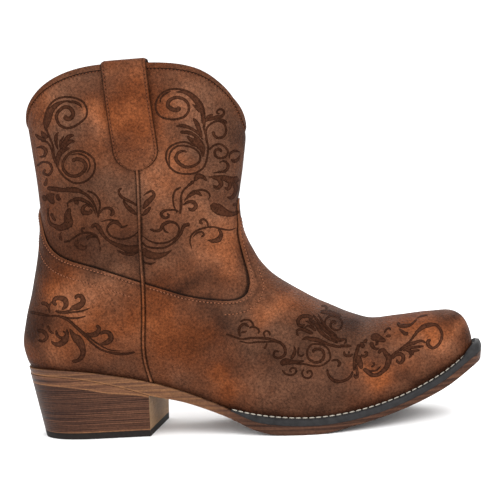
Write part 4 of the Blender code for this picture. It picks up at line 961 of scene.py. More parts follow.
def patches_at(table, points):
    """Sum of a table's patches at the points, with uneven borders."""
    total = np.zeros(len(points))
    along, high = points[:, 0], points[:, 2]
    shift, length_z, length_x = PATCH_WAVE_X
    uneven_x = along + shift * np.sin(high / length_z + along / length_x)
    shift, length_z, length_x = PATCH_WAVE_Z
    uneven_z = high + shift * np.sin(along / length_x - high / length_z)
    for x, z, reach_x, reach_z, amount in table:
        distance = ((uneven_x - x) / reach_x) ** 2 + ((uneven_z - z) / reach_z) ** 2
        total += amount * np.exp(-distance)
    return np.clip(total, -1.0, 1.0)


def patch_tone(points):
    """How much lighter (above 0) or darker the leather is at the points: rubbed and burnished finish, and
    painted shade and highlights.
    """
    return patches_at(PATCHES, points)


def trim_tone(share, lighter):
    """Tone of a piece of trim: a share of the patches' tone, with some more light."""
    return lambda points: patch_tone(points) * share + lighter


class Look:
    """A material in the making: its shader, and short ways to add nodes in front of it."""

    def __init__(self, name, shine=PLAIN_SHINE):
        self.made = bpy.data.materials.new(name)
        self.made.use_nodes = True
        self.tree = self.made.node_tree
        self.shader = self.tree.nodes["Principled BSDF"]
        self.shader.inputs["Specular IOR Level"].default_value = shine
        self.place = self.tree.nodes.new("ShaderNodeTexCoord").outputs["Object"]

    def feed(self, socket, value):
        """Sets a socket to a number or links it to an output."""
        if isinstance(value, bpy.types.NodeSocket):
            self.tree.links.new(value, socket)
        else:
            socket.default_value = value

    def node(self, kind, **inputs):
        """A node with its named inputs set to numbers or linked to outputs."""
        made = self.tree.nodes.new(kind)
        for name, value in inputs.items():
            self.feed(made.inputs[name.replace("_", " ")], value)
        return made

    def noise(self, scale, detail, roughness, stretch=EVEN):
        """Noise at the place on the object, whose axes are stretched."""
        place = self.node("ShaderNodeMapping", Vector=self.place, Scale=stretch).outputs["Vector"]
        made = self.node("ShaderNodeTexNoise", Vector=place, Scale=scale, Detail=detail, Roughness=roughness)
        return made.outputs[0]

    def cells(self, scale):
        return self.node("ShaderNodeTexVoronoi", Vector=self.place, Scale=scale).outputs["Distance"]

    def attribute(self, name):
        made = self.tree.nodes.new("ShaderNodeAttribute")
        made.attribute_name = name
        return made.outputs["Fac"]

    def math(self, operation, *values):
        made = self.tree.nodes.new("ShaderNodeMath")
        made.operation = operation
        for socket, value in zip(made.inputs, values):
            self.feed(socket, value)
        return made.outputs["Value"]

    def swing(self, value, share, middle):
        """A noise brought to swing round another middle, by a share of its swing."""
        return self.math("MULTIPLY_ADD", self.math("SUBTRACT", value, NOISE_MIDDLE), share, middle)

    def span(self, value, source, target):
        """A value carried from one range of numbers to another."""
        made = self.node("ShaderNodeMapRange", Value=value)
        for name, number in zip(("From Min", "From Max", "To Min", "To Max"), source + target):
            made.inputs[name].default_value = number
        return made.outputs["Result"]

    def ramp(self, value, stops):
        """A colour that runs through the given colours at the given places."""
        made = self.node("ShaderNodeValToRGB", Fac=value)
        elements = made.color_ramp.elements
        while len(elements) < len(stops):
            elements.new(0.5)
        for element, (place, colour) in zip(elements, stops):
            element.position = place
            element.color = (*colour, 1.0)
        return made.outputs["Color"]

    def edge_curve(self, attribute, stops):
        """A number that runs through the given numbers at painted distances from an edge."""
        share = self.math("DIVIDE", self.attribute(attribute), EDGE_SPAN)
        return self.ramp(share, [(place / EDGE_SPAN, (number,) * 3) for place, number in stops])

    def blend(self, value, first, second):
        """The first colour where the value is 0, the second where it is 1."""
        made = self.tree.nodes.new("ShaderNodeMix")
        made.data_type = "RGBA"
        colour_sockets = [socket for socket in made.inputs if socket.type == "RGBA"]
        for socket, output in zip([made.inputs["Factor"], *colour_sockets], (value, first, second)):
            self.feed(socket, output)
        return next(socket for socket in made.outputs if socket.type == "RGBA")

    def shaded(self, colour, value, low, high):
        """A colour made darker or lighter: times low where the value is 0, times high where it is 1."""
        factor = self.span(value, (0.0, 1.0), (low, high))
        made = self.tree.nodes.new("ShaderNodeVectorMath")
        made.operation = "SCALE"
        self.feed(made.inputs[0], colour)
        self.feed(made.inputs["Scale"], factor)
        return made.outputs[0]

    def finish(self, colour, height, depth, roughness):
        """Joins colour, bump and roughness to the shader and gives the material."""
        bump = self.node("ShaderNodeBump", Height=height, Distance=depth * MM, Strength=1.0)
        self.feed(self.shader.inputs["Base Color"], colour)
        self.feed(self.shader.inputs["Normal"], bump.outputs["Normal"])
        self.feed(self.shader.inputs["Roughness"], roughness)
        return self.made


def leather_look(name, palettes, edge_shades, piping_shadow, shine):
    """Burnished leather: lighter and darker in patches of rubbed finish and of painted shade and highlights,
    speckled and grained.

    The colour wanders between the palettes, each of which has a dark, a middle and a light colour.
    edge_shades are pairs: millimetres from the sewn or cut edge, and how light the leather is there, which
    paints shadows, highlights and groove shade along the edges.
    """
    look = Look(name + "_look", shine)
    level = look.swing(look.noise(*MOTTLE), MOTTLE_SHARE, NOISE_MIDDLE)
    # tone: patches of rubbed and burnished finish, and painted shade and highlights
    level = look.math("MULTIPLY_ADD", look.attribute("tone"), TONE_SHARE, level)
    colours = []
    for palette in palettes:
        stops = [(place, COLOURS[palette + ending]) for ending, place in PALETTE_STOPS]
        colours.append(look.ramp(level, stops))
    colour = colours[0]
    if len(colours) > 1:
        wander = look.math("MULTIPLY_ADD", look.attribute("warmth"), WARMTH_SHARE, look.noise(*WANDER))
        colour = look.blend(look.span(wander, WANDER_SPAN, (0.0, 1.0)), *colours)
    colour = look.shaded(colour, look.noise(*SPECK), *SPECK_SHADES)
    # painted shadows, highlights and groove shade along the edges
    colour = look.shaded(colour, look.edge_curve("edge", edge_shades), *EDGE_SHADES)
    # painted shadow beside the raised piping
    if piping_shadow:
        beside = look.span(look.attribute("seam"), SEAM_SPAN, (0.0, 1.0))
        colour = look.shaded(colour, beside, *SEAM_SHADES)
    grain = look.math("ADD", look.cells(GRAIN_CELLS), look.noise(*GRAIN))
    roughness = look.span(look.noise(*GLOSS), NOISE_SPAN, LEATHER_ROUGHNESS)
    return look.finish(colour, grain, GRAIN_DEPTH, roughness)


def plain_look(name, roughness, scale, depth, contrast, stretch):
    """A colour in fine darker and lighter shades, with a matching bump."""
    look = Look(name + "_look")
    fine = look.noise(scale, *PLAIN_SHADE, stretch)
    middle = np.array(COLOURS[name])
    shades = (middle * (1 - contrast), middle * (1 + contrast))
    return look.finish(look.ramp(fine, tuple(zip(SHADE_STOPS, shades))), fine, depth, roughness)


def stack_look(name, stops, pitch, middle, streak_share):
    """Layers of leather edge-on: fine level lines, streaks, a pale line along the foot and a shine."""
    look = Look(name + "_look")
    scale = 2 * math.pi / (WAVE_TURN * pitch * MM)
    wave = look.node("ShaderNodeTexWave", Vector=look.place, Scale=scale, **WAVE)
    wave.bands_direction = "Z"
    streaks = look.noise(*STREAKS, STREAK_STRETCH)
    level = look.swing(streaks, streak_share, middle)
    level = look.swing(wave.outputs["Fac"], WAVE_SHARE, level)
    level = look.math("ADD", level, look.attribute("pale"))
    level = look.math("MULTIPLY_ADD", look.edge_curve("foot", PALE_LINE), PALE_LINE_SHARE, level)
    colour = look.ramp(level, [(place, COLOURS[shade]) for place, shade in stops])
    colour = look.shaded(colour, look.noise(*STACK_SPECK), *STACK_SPECK_SHADES)
    roughness = look.span(streaks, NOISE_SPAN, STACK_ROUGHNESS)
    return look.finish(colour, level, STACK_DEPTH, roughness)


def make_looks():
    """All the boot's materials by name."""
    looks = {name: leather_look(name, *values) for name, values in LEATHER_LOOKS.items()}
    looks.update({name: plain_look(name, *values) for name, values in PLAIN_LOOKS.items()})
    looks.update({name: stack_look(name, *values) for name, values in STACK_LOOKS.items()})
    return looks


def surface(rows):
    """Open surface through rows of points, its faces turned the way that grid_normals points."""
    bm = bmesh.new()
    verts = [[bm.verts.new(point) for point in row] for row in rows]
    for a, b in zip(verts, verts[1:]):
        for j in range(len(a) - 1):
            bm.faces.new((a[j], a[j + 1], b[j + 1], b[j]))
    bmesh.ops.remove_doubles(bm, verts=bm.verts, dist=WELD)
    bmesh.ops.dissolve_degenerate(bm, edges=bm.edges, dist=SLIVER)
    bmesh.ops.triangulate(bm, faces=bm.faces)
    bm.normal_update()
    return bm


def places(bm):
    return np.array([vert.co for vert in bm.verts])


def keep_where(bm, field):
    """Cuts a surface along field = 0 and keeps what lies on the positive side."""
    value = dict(zip(bm.verts, field(places(bm))))
    cut = []
    for edge in list(bm.edges):
        a, b = edge.verts
        if value[a] * value[b] < 0:
            made = bmesh.utils.edge_split(edge, a, value[a] / (value[a] - value[b]))[1]
            value[made] = 0.0
            cut.append(made)
    bmesh.ops.connect_verts(bm, verts=cut)
    outside = [face for face in bm.faces if sum(value[vert] for vert in face.verts) < 0]
    bmesh.ops.delete(bm, geom=outside, context="FACES")
    bmesh.ops.dissolve_degenerate(bm, edges=bm.edges, dist=CUT_SLIVER)


def shell(bm, outer, inner, rim_slot=1):
    """A skin round a surface: outer and inner give the distance of each face along the normals."""
    bm.normal_update()
    points = places(bm)
    normals = np.array([vert.normal for vert in bm.verts])
    made = bmesh.new()
    over = [made.verts.new(point) for point in points + normals * outer(points)[:, None]]
    under = [made.verts.new(point) for point in points + normals * inner(points)[:, None]]
    bm.verts.index_update()
    for face in bm.faces:
        corners = [vert.index for vert in face.verts]
        made.faces.new([over[i] for i in corners])
        made.faces.new([under[i] for i in reversed(corners)]).material_index = rim_slot
    for edge in bm.edges:
        if edge.is_boundary:
            loop = edge.link_loops[0]
            a, b = loop.vert.index, loop.link_loop_next.vert.index
            made.faces.new((over[b], over[a], under[a], under[b])).material_index = rim_slot
    bm.free()
    return made


def solid_between(over, under, rim_rows=None, end_rims=(0, -1)):
    """Closed body between two grids of points. Side rims join the first rim_rows rows."""
    bm = bmesh.new()
    a, b = ([[bm.verts.new(point) for point in row] for row in rows] for rows in (over, under))
    strips = [a, b]
    strips += [[[row[j] for row in a[:rim_rows]], [row[j] for row in b[:rim_rows]]] for j in (0, -1)]
    strips += [[a[i], b[i]] for i in end_rims]
    for strip in strips:
        for first, second in zip(strip, strip[1:]):
            for j in range(len(first) - 1):
                bm.faces.new((first[j], first[j + 1], second[j + 1], second[j]))
    bmesh.ops.remove_doubles(bm, verts=bm.verts, dist=WELD)
    bmesh.ops.dissolve_degenerate(bm, edges=bm.edges, dist=SLIVER)
    bmesh.ops.recalc_face_normals(bm, faces=bm.faces)
    return bm


def swept_solid(loops, closed=False):
    """Closed body through section loops, capped at both ends or joined into a ring."""
    bm = bmesh.new()
    rings = [[bm.verts.new(point) for point in loop] for loop in loops]
    if not closed:
        bm.faces.new(rings[0])
        bm.faces.new(rings[-1])
    else:
        rings.append(rings[0])
    for first, second in zip(rings, rings[1:]):
        for j in range(len(first)):
            bm.faces.new((first[j - 1], first[j], second[j], second[j - 1]))
    bmesh.ops.recalc_face_normals(bm, faces=bm.faces)
    return bm


def paint_leather(obj, tone, edge):
    """Stores what a leather look reads: lightness, warmth and millimetres from the edge."""
    paint(obj, "tone", tone)
    paint(obj, "warmth", lambda points: patches_at(WARMTH, points))
    paint(obj, "edge", edge)


def piece(name, bm, looks, nodes=(), bevel=0.0, sharp=SHARP):
    """A named piece of the boot from a bmesh in millimetres; it stands for the given nodes."""
    bmesh.ops.scale(bm, verts=bm.verts, vec=(MM, MM, MM))
    mesh = bpy.data.meshes.new(name)
    bm.to_mesh(mesh)
    bm.free()
    for look in looks:
        mesh.materials.append(look)
    mesh.shade_smooth()
    mesh.set_sharp_from_angle(angle=math.radians(sharp))
    obj = bpy.data.objects.new(name, mesh)
    bpy.context.scene.collection.objects.link(obj)
    if bevel:
        rounding = obj.modifiers.new("rounding", "BEVEL")
        rounding.width = bevel * MM
        rounding.segments = 2
        rounding.limit_method = "ANGLE"
        rounding.angle_limit = math.radians(BEVEL_ANGLE)
    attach(obj, "root")
    if nodes:
        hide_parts(*nodes)
    return obj


def places_of(obj):
    """Points of a finished piece, in millimetres."""
    return np.array([vert.co for vert in obj.data.vertices]) / MM


def paint(obj, name, field):
    """Stores field(points in millimetres) as a named number at each point of the piece."""
    values = obj.data.attributes.new(name, "FLOAT", "POINT")
    values.data.foreach_set("value", np.asarray(field(places_of(obj)), np.float32))


def tree_of(*objects):
    """Search tree of finished pieces, in millimetres."""
    points, faces = [], []
    for obj in objects:
        faces += [tuple(len(points) + i for i in face.vertices) for face in obj.data.polygons]
        points += [vert.co / MM for vert in obj.data.vertices]
    return BVHTree.FromPolygons(points, faces)


def above_feather(points):
    return points[:, 2] - feather_z(points[:, 0])


def fade(distance, reach):
    """1 on an edge, fading out over the reach."""
    return np.exp(-np.maximum(distance, 0.0) / reach)


def below_topline(points):
    return topline_z(points) - points[:, 2]


def topline_gap(points):
    """Distance of the points below the topline, across it and not straight down."""
    height = topline_z(points)
    rises = [(topline_z(points + step) - height) ** 2 for step in ((1.0, 0.0, 0.0), (0.0, 1.0, 0.0))]
    return (height - points[:, 2]) / np.sqrt(1 + sum(rises))


def grid_tree(rows):
    """Search tree of a grid of points."""
    count = rows.shape[1]
    quads = []
    for i in range(rows.shape[0] - 1):
        for j in range(count - 1):
            at = i * count + j
            quads.append((at, at + count, at + count + 1, at + 1))
    return BVHTree.FromPolygons([Vector(point) for point in rows.reshape(-1, 3)], quads)


def build_shaft(rows, normals, heel, looks):
    """The hollow upper, with its lining."""
    lining = rows - normals * WALL
    for j in (0, -1):
        lining[: heel + 1, j, 2] = feather_z(lining[: heel + 1, j, 0]) + GAP
    lining[0] = lining[0, 0]
    bm = solid_between(rows, lining, heel + 1, end_rims=(-1,))
    outside = grid_tree(rows)
    for face in bm.faces:
        face.material_index = int(outside.find_nearest(face.calc_center_median())[3] > WALL / 2)
    obj = piece("shaft", bm, looks, ("upper",))
    rim = rows[-1][rows[-1][:, 1] <= RIM_MIDDLE]
    rim = rim[np.argsort(rim[:, 0])]

    def tone(points):
        # painted shadow on the shaft beside the strap
        amount, reach = STRAP_SHADOW
        beside = np.abs(past_seam(points)) - STRAP_WIDTH / 2
        return patch_tone(points) - amount * eased(*STRAP_SHADOW_Z, points[:, 2]) * fade(beside, reach)

    # distance to the lapping edges of vamp, counter and binding, beside which the shaft takes a painted
    # shadow
    def edge(points):
        below_collar = np.interp(points[:, 0], rim[:, 0], rim[:, 2]) - points[:, 2] - BINDING_LEG
        return np.minimum(-topline_gap(points), COLLAR_EDGE_RATE * below_collar)

    paint_leather(obj, tone, edge)
    paint(obj, "seam", beside_piping)
    return obj


def build_overlay(name, rows, side, looks, node):
    """Vamp (FRONT) or counter (BACK): a skin over the upper, cut along the topline and the piping."""

    def from_seam(points):
        return side * past_seam(points) - PIPING_WIDTH / 2

    def outer(points):
        edge = np.minimum(topline_gap(points), from_seam(points))
        skived = CUT_EDGE + (1 - CUT_EDGE) * eased(0.0, SKIVE, edge)
        turned = FEATHER_THIN + (1 - FEATHER_THIN) * eased(0.0, FEATHER_ROLL, above_feather(points))
        return OVERLAY_SEAT + OVERLAY * skived * turned

    def inner(points):
        return np.full(len(points), OVERLAY_SEAT / 2)

    def tone(points):
        # painted shade just above the welt, where the leather turns in
        amount, start, reach = FEATHER_SHADE
        return patch_tone(points) - amount * fade(above_feather(points) - start, reach)

    bm = surface(rows)
    keep_where(bm, lambda points: above_feather(points) - GAP)
    keep_where(bm, below_topline)
    keep_where(bm, from_seam)
    obj = piece(name, shell(bm, outer, inner), looks, (node,))
    # distance below the topline, where the look paints a highlight on the turned edge and shade in the
    # stitch groove
    paint_leather(obj, tone, topline_gap)
    paint(obj, "seam", beside_piping)
    return obj


def wall_at(tree, x, z, side):
    """Distances of the shaft wall's outer and inner faces from the middle plane."""
    outwards = Vector((0.0, side, 0.0))
    outer = tree.ray_cast(Vector((x, 0.0, z)) + outwards * RAY_START, -outwards)[0]
    inner = tree.ray_cast(Vector((x, 0.0, z)), outwards)[0]
    return abs(outer.y), abs(inner.y)


def build_piping(name, tree, side, look, node):
    """Cord in the side seam, from the pull strap down to the sole."""
    low = float(feather_z(SEAM[0][1])) + 2 * GAP
    loops = []
    for z in np.linspace(PIPING_TOP_Z, low, PIPING_STEPS):
        loop = []
        for angle in np.linspace(0.0, math.pi, PIPING_SIDES):
            x = float(seam_x(z)) - PIPING_WIDTH / 2 * math.cos(angle)
            wall = wall_at(tree, x, max(z, low + 2 * GAP), side)[0]
            loop.append((x, side * (wall + PIPING_HEIGHT * math.sin(angle) - PIPING_SINK), z))
        loops.append(loop)
    obj = piece(name, swept_solid(loops), [look], (node,))
    # distance into the piping from its sides: the trim look paints shade at its flanks and a highlight on
    # top
    paint_leather(obj, trim_tone(*PIPING_TONE), lambda points: -beside_piping(points))


def strap_half_width(z):
    """Half width of the strap's outer leg, which ends in a round."""
    above_end = min(max((z - STRAP_END_Z[0]) / STRAP_END_ROUND, 0.0), 1.0)
    return STRAP_WIDTH / 2 * max(math.sqrt(1 - (1 - above_end) ** 2), STRAP_TIP)


def strap_grid(tree, side, turn_z):
    """Rows of points across the strap's inner face, from outer to inner end, with directions out."""
    round_z = STRAP_END_Z[0] + STRAP_END_ROUND * np.linspace(0.0, 1.0, STRAP_ROUND_ROWS) ** 2
    straight_z = np.linspace(STRAP_STITCH_Z, turn_z, STRAP_LEG_ROWS - STRAP_ROUND_ROWS + 1)
    across = np.linspace(-1.0, 1.0, STRAP_COLUMNS)
    top_x = float(seam_x(turn_z)) + STRAP_WIDTH / 2 * across
    rows, outs = [], []

    def wall(x, z):
        return wall_at(tree, x, min(z, turn_z - BINDING_LEG), side)

    def add(row, out_y, out_z=0.0):
        rows.append(row)
        outs.append([(0.0, side * out_y, out_z)] * STRAP_COLUMNS)

    for z in np.concatenate([round_z, straight_z[1:]]):
        free = float(eased(STRAP_STITCH_Z, turn_z, z))
        lay = GAP + (STRAP_OVER - GAP) * free + STRAP_BOW * math.sin(math.pi * free)
        places_x = float(seam_x(z)) + strap_half_width(z) * across
        add([(x, side * (wall(x, z)[0] + lay), z) for x in places_x], 1.0)
    for angle in np.linspace(0.0, math.pi, STRAP_FOLD_ROWS)[1:-1]:
        row = []
        for x in top_x:
            outer, inner = wall(x, turn_z)
            reach = (outer - inner) / 2 + STRAP_OVER
            middle = (outer + inner) / 2 + reach * math.cos(angle)
            row.append((x, side * middle, turn_z + STRAP_FOLD * reach * math.sin(angle)))
        add(row, math.cos(angle), math.sin(angle))
    for z in np.linspace(turn_z, STRAP_END_Z[1], STRAP_INNER_ROWS)[1:]:
        lay = GAP + (STRAP_OVER - GAP) * float(eased(STRAP_END_Z[1], turn_z - 2 * BINDING_LEG, z))
        add([(x, side * (wall(x, z)[1] - lay), z) for x in top_x], -1.0)
    return np.array(rows), np.array(outs), across


def build_strap_stitches(name, face, thread):
    """Rows along the strap's two edges and one across it where the free part starts."""
    start = STRAP_ROUND_ROWS // 2
    lines = {
        "back": face[start:STRAP_LEG_ROWS, 1],
        "front": face[start:STRAP_LEG_ROWS, -2],
        "across": face[STRAP_ROUND_ROWS - 1, 1:-1],
    }
    out = (0.0, math.copysign(1.0, face[0, 0, 1]), 0.0)
    for label, line in lines.items():
        outs = np.tile(out, (len(line), 1))
        stitch_row("stitches_%s_%s" % (name, label), line, outs, *SEWING, "trim_leather", *thread)


def build_strap(name, tree, collar_top, side, look, thread, node):
    """Pull strap: sewn low on the shaft, free above, folded over the collar and laid down inside."""
    rows, outs, across = strap_grid(tree, side, collar_top - WALL / 2)
    thin, width = STRAP_EDGE
    rounded = thin + (1 - thin) * eased(0.0, width, 1 - np.abs(across))
    face = rows + outs * (STRAP_THICKNESS * rounded)[None, :, None]
    obj = piece(name, solid_between(rows, face), [look], (node,), sharp=STRAP_SHARP)

    # distance in from the strap's sides: the trim look paints shade at its edges and stitch groove and a
    # highlight between
    def edge(points):
        half = np.array([strap_half_width(z) for z in points[:, 2]])
        return half - np.abs(past_seam(points))

    paint_leather(obj, trim_tone(*STRAP_TONE), edge)
    build_strap_stitches(name, face, thread)


def build_binding(rows, normals, look):
    """Folded strip over the collar's edge, with a leg on each face of the wall."""
    lining = rows - normals * WALL
    step = rows[BELOW_COLLAR] - rows[-1]
    length = np.linalg.norm(step, axis=1)[:, None]
    near, far = BINDING_GAP, BINDING_GAP + BINDING_THICKNESS

    def corner(face, out, rise, leg):
        share = leg / length
        point = face[-1] + (face[BELOW_COLLAR] - face[-1]) * share
        normal = normals[-1] + (normals[BELOW_COLLAR] - normals[-1]) * share
        return point + normal * out - step / length * rise

    half = [(near, 0.0, BINDING_LEG)]
    half += [(out * far, rise * far, leg * BINDING_LEG) for out, rise, leg in BINDING_SECTION]
    corners = [corner(rows, *place) for place in half]
    corners += [corner(lining, -out, rise, leg) for out, rise, leg in half[::-1]]
    corners += [corner(lining, -near, near, 0.0), corner(rows, near, near, 0.0)]
    bm = swept_solid(np.stack(corners, 1)[:-1], closed=True)
    obj = piece("collar_edge", bm, [look], ("collar_binding",), sharp=BINDING_SHARP)
    paint_leather(obj, trim_tone(*BINDING_TONE), lambda points: np.full(len(points), BINDING_EDGE))


def sole_shares(steps):
    """Shares of the way from toe to heel, closer together where the outline turns."""
    even = np.linspace(0.0, 1.0, steps + 1)
    return even - SOLE_CROWDING * np.sin(2 * math.pi * even)


def sole_grid(margins, first_inset, heights, shares):
    """Rows across the sole: edge, a point at each margin, middle line and the same on the inner side."""
    outer, inner = (sole_edge(name, first_inset, shares) for name in ("outer", "inner"))
    middle = spine((outer[:, 0] + inner[:, 0]) / 2)
    flat = [outer] + [moved_in(outer, margin) for margin in margins] + [middle]
    flat += [moved_in(inner, margin) for margin in margins[::-1]] + [inner]
    heights = list(heights) + list(heights[-2::-1])
    columns = [np.column_stack([xy, height(xy[:, 0])]) for xy, height in zip(flat, heights)]
    return np.stack(columns, 1)


def rabbet_z(x):
    """Height of the outsole's face under the welt."""
    return feather_z(x) - rabbet_depth(x)


def build_outsole(look):
    """Leather sole with a rabbet for the welt along the forefoot's edge."""
    shares = sole_shares(SOLE_STEPS)
    margins = (SOLE_MARGINS[0], WELT_BITE + GAP, WELT_BITE + 2 * GAP, SOLE_MARGINS[1])
    top = sole_grid(margins, np.zeros_like, (rabbet_z,) * 3 + (feather_z,) * 3, shares)
    levels = (underside_z,) * (len(margins) + 2)
    under = sole_grid(margins, lambda x: np.full_like(x, UNDERSIDE_INSET), levels, shares)
    bm = solid_between(top, under, end_rims=())
    obj = piece("sole", bm, [look], ("outsole",), bevel=SOLE_BEVEL)

    def pale(points):
        shank, *shank_end = SHANK_PALE
        seat, *seat_end = SEAT_DARKENING
        x = points[:, 0]
        return shank * (1 - eased(*shank_end, x)) - seat * (1 - eased(*seat_end, x))

    def foot(points):
        raised, *ends = HIDDEN_LINE
        x = points[:, 0]
        return points[:, 2] - underside_z(x) + raised * eased(*ends, x)

    paint(obj, "pale", pale)
    paint(obj, "foot", foot)


def build_welt(look):
    """Strip between upper and outsole, from waist to waist round the toe."""
    sides = [sole_edge(name, np.zeros_like, sole_shares(SOLE_STEPS)) for name in ("outer", "inner")]
    outer, inner = (line[line[:, 0] > WELT_END_X] for line in sides)
    edge = np.concatenate([outer[::-1], inner[1:]])
    toe = eased(*WELT_TOE, edge[:, 0])
    lip = WELT_TOE_LIP * toe
    rounding = WELT_ROUND + WELT_TOE_ROUND * toe
    drop = np.minimum(rounding, rabbet_depth(edge[:, 0]) / 2)
    insets = (WELT_SHOULDER * rounding, rounding, bottom("welt_out", edge[:, 0]) - WELT_FOOT, WELT_BITE)
    shoulder, flat, foot, bite = (moved_in(edge, inset) for inset in insets)

    def low(x):
        return rabbet_z(x) + GAP / 2

    corners = (
        (edge, lambda x: feather_z(x) - drop),
        (shoulder, lambda x: feather_z(x) - WELT_SHOULDER * drop + WELT_SHOULDER_LIP * lip),
        (flat, lambda x: feather_z(x) + lip),
        (foot, feather_z),
        (bite, feather_z),
        (bite, low),
        (flat, low),
        (edge, low),
    )
    loops = np.stack([np.column_stack([xy, height(xy[:, 0])]) for xy, height in corners], 1)
    piece("welt_strip", swept_solid(loops), [look], ("welt",), sharp=WELT_SHARP)


def heel_grid(height, drop):
    """Rows across the heel from breast to back. drop is the share of the way from the seat to the floor."""

    def edge(start, steps):
        return sole_edge("outer", lambda x: np.full_like(x, HEEL_INSET), np.linspace(start, 1.0, steps))

    start = np.argmax(edge(0.0, CURVE_STEPS)[:, 0] < HEEL_BREAST_X[0]) / (CURVE_STEPS - 1)
    x, y = edge(start, HEEL_ROWS).T
    depth = (x - x[0]) / (x[-1] - x[0])
    breast = HEEL_BREAST_X[0] + (HEEL_BREAST_X[1] - HEEL_BREAST_X[0]) * drop
    back = x[-1] + HEEL_BACK_RAKE * drop
    x = breast + (back - breast) * depth
    half = np.abs(y) * (1 - HEEL_SIDE_TAPER * drop)
    across = np.linspace(-1.0, 1.0, HEEL_COLUMNS)
    return np.stack([np.column_stack([x, half * t, height(x)]) for t in across], 1)


def build_heel(looks):
    """Wedge under the seat, stacked block and top lift."""

    def seat(x):
        return underside_z(x) - GAP / 2

    def wedge_under(x):
        behind = HEEL_BREAST_X[0] - x
        thin, thick = SEAT_LIFT_THICKNESS
        return seat(x) - thin - (thick - thin) * eased(0.0, SEAT_LIFT_RAMP, behind)

    def block_top(x):
        return wedge_under(x) - GAP / 3

    def level(z):
        return lambda x: np.full_like(x, z)

    seat_height = float(seat(np.array(OUTLINE_HEEL[0])))
    wedge_drop = SEAT_LIFT_THICKNESS[1] / seat_height
    lift_drop = 1 - TOP_LIFT_THICKNESS / seat_height
    block_under = level(TOP_LIFT_THICKNESS + GAP / 2)
    lift_top = level(TOP_LIFT_THICKNESS)
    parts = (
        ("seat_wedge", "heel_seat_lift", "wedge", (seat, 0.0), (wedge_under, wedge_drop)),
        ("stacked_heel", "heel_block", "stack", (block_top, wedge_drop), (block_under, lift_drop)),
        ("top_lift", "heel_top_lift", "rubber", (lift_top, lift_drop), (level(0.0), 1.0)),
    )
    for name, node, look, over, under in parts:
        bm = solid_between(heel_grid(*over), heel_grid(*under))
        bm.normal_update()
        for face in bm.faces:
            face.material_index = int(face.normal.x > BREAST_FACING)
        breast = looks["rubber"] if look == "rubber" else looks["breast"]
        obj = piece(name, bm, [looks[look], breast], (node,), bevel=HEEL_BEVEL)
        at_back, at_breast = HEEL_PALE[name]
        rise = at_breast - at_back
        paint(obj, "pale", lambda points: at_back + rise * eased(*HEEL_PALE_X, points[:, 0]))
        paint(obj, "foot", lambda points: points[:, 2] - under[0](points[:, 0]))


def stitch_row(name, path, outs, pitch, length, radius, slot, look, pinholes=None):
    """Row of single stitches along a path that lies on a surface; outs are the directions off it.

    pinholes is the look of the dark beads that paint the shade in the holes between the stitches.
    """
    run = lengths_along(path)
    count = max(int(run[-1] / pitch), 1)
    middles = (np.arange(count) + 0.5) * run[-1] / count
    turns = np.linspace(0.0, 2 * math.pi, BEAD_SIDES + 1)[:-1]
    bm = bmesh.new()

    def at(values, place):
        return np.array([np.interp(place, run, values[:, k]) for k in range(3)])

    def bead(middle, length, radius, lift, number):
        along = unit(at(path, middle + length / 2) - at(path, middle - length / 2))
        out = at(outs, middle)
        side = np.cross(out, along)
        verts = []
        for share in BEAD_SHARES:
            thick = radius * math.sqrt(max(1 - abs(share) ** 3, BEAD_TIP))
            centre = at(path, middle + share * length / 2) + out * lift
            ring = [centre + thick * (side * math.cos(t) + out * math.sin(t)) for t in turns]
            verts.append([bm.verts.new(point) for point in ring])
        faces = [bm.faces.new(verts[0][::-1]), bm.faces.new(verts[-1])]
        for first, second in zip(verts, verts[1:]):
            for j in range(BEAD_SIDES):
                faces.append(bm.faces.new((first[j - 1], first[j], second[j], second[j - 1])))
        for face in faces:
            face.material_index = number

    hole_length, hole_radius, hole_depth = PINHOLE
    for middle in middles:
        bead(middle, length, radius, 0.0, 0)
        if pinholes and middle + pitch / 2 < run[-1] - hole_length:
            # a dark bead of painted shade in the stitch hole
            bead(middle + pitch / 2, hole_length, hole_radius, -hole_depth, 1)
    piece(name, bm, [look, pinholes] if pinholes else [look])


def topline_path(tree, panel_tree, side, degrees, drop):
    """Path on a panel's face, drop below its upper edge, and the directions off the face."""
    edge, normals = [], []
    for turn, z in zip(np.radians(degrees), curve(TOPLINE, degrees)):
        out = Vector((TOPLINE_REACH[0] * math.cos(turn), side * TOPLINE_REACH[1] * math.sin(turn), 0.0))
        start = Vector((TOPLINE_CENTRE_X, 0.0, z)) + out * RAY_REACH
        hit, normal = tree.ray_cast(start, -out.normalized())[:2]
        edge.append(hit)
        normals.append(normal if normal.dot(out) > 0 else -normal)
    edge, normals = np.array(edge), np.array(normals)
    down = unit(np.cross(normals, np.gradient(edge, axis=0)))
    down *= -np.sign(down[:, 2:3])
    found = [panel_tree.find_nearest(Vector(point)) for point in edge + down * drop + normals * PANEL_LIFT]
    return np.array([hit[0] for hit in found]), np.array([hit[1] for hit in found])


def sew_topline(rows, panels, thread):
    """Stitches below the upper edges of vamp and counter, and round the vamp's lower corners."""
    tree = grid_tree(rows)
    panel_trees = {name: tree_of(obj) for name, obj in panels.items()}
    for side_name, side in SIDES:
        for name, panel, ends, count, drop in TOPLINE_ROWS:
            degrees = np.linspace(*ends, count)
            path, outs = topline_path(tree, panel_trees[panel], side, degrees, drop)
            stitch_row("stitches_%s_%s" % (name, side_name), path, outs, *SEWING, "foot_leather", *thread)


def sew_collar(rows, normals, thread):
    """Stitches along the lower edge of the binding."""
    down = unit(rows[BELOW_COLLAR] - rows[-1])
    path = rows[-1] + down * (BINDING_LEG + COLLAR_STITCH_DROP)
    stitch_row("stitches_collar", path, normals[-1], *SEWING, "shaft_leather", *thread)


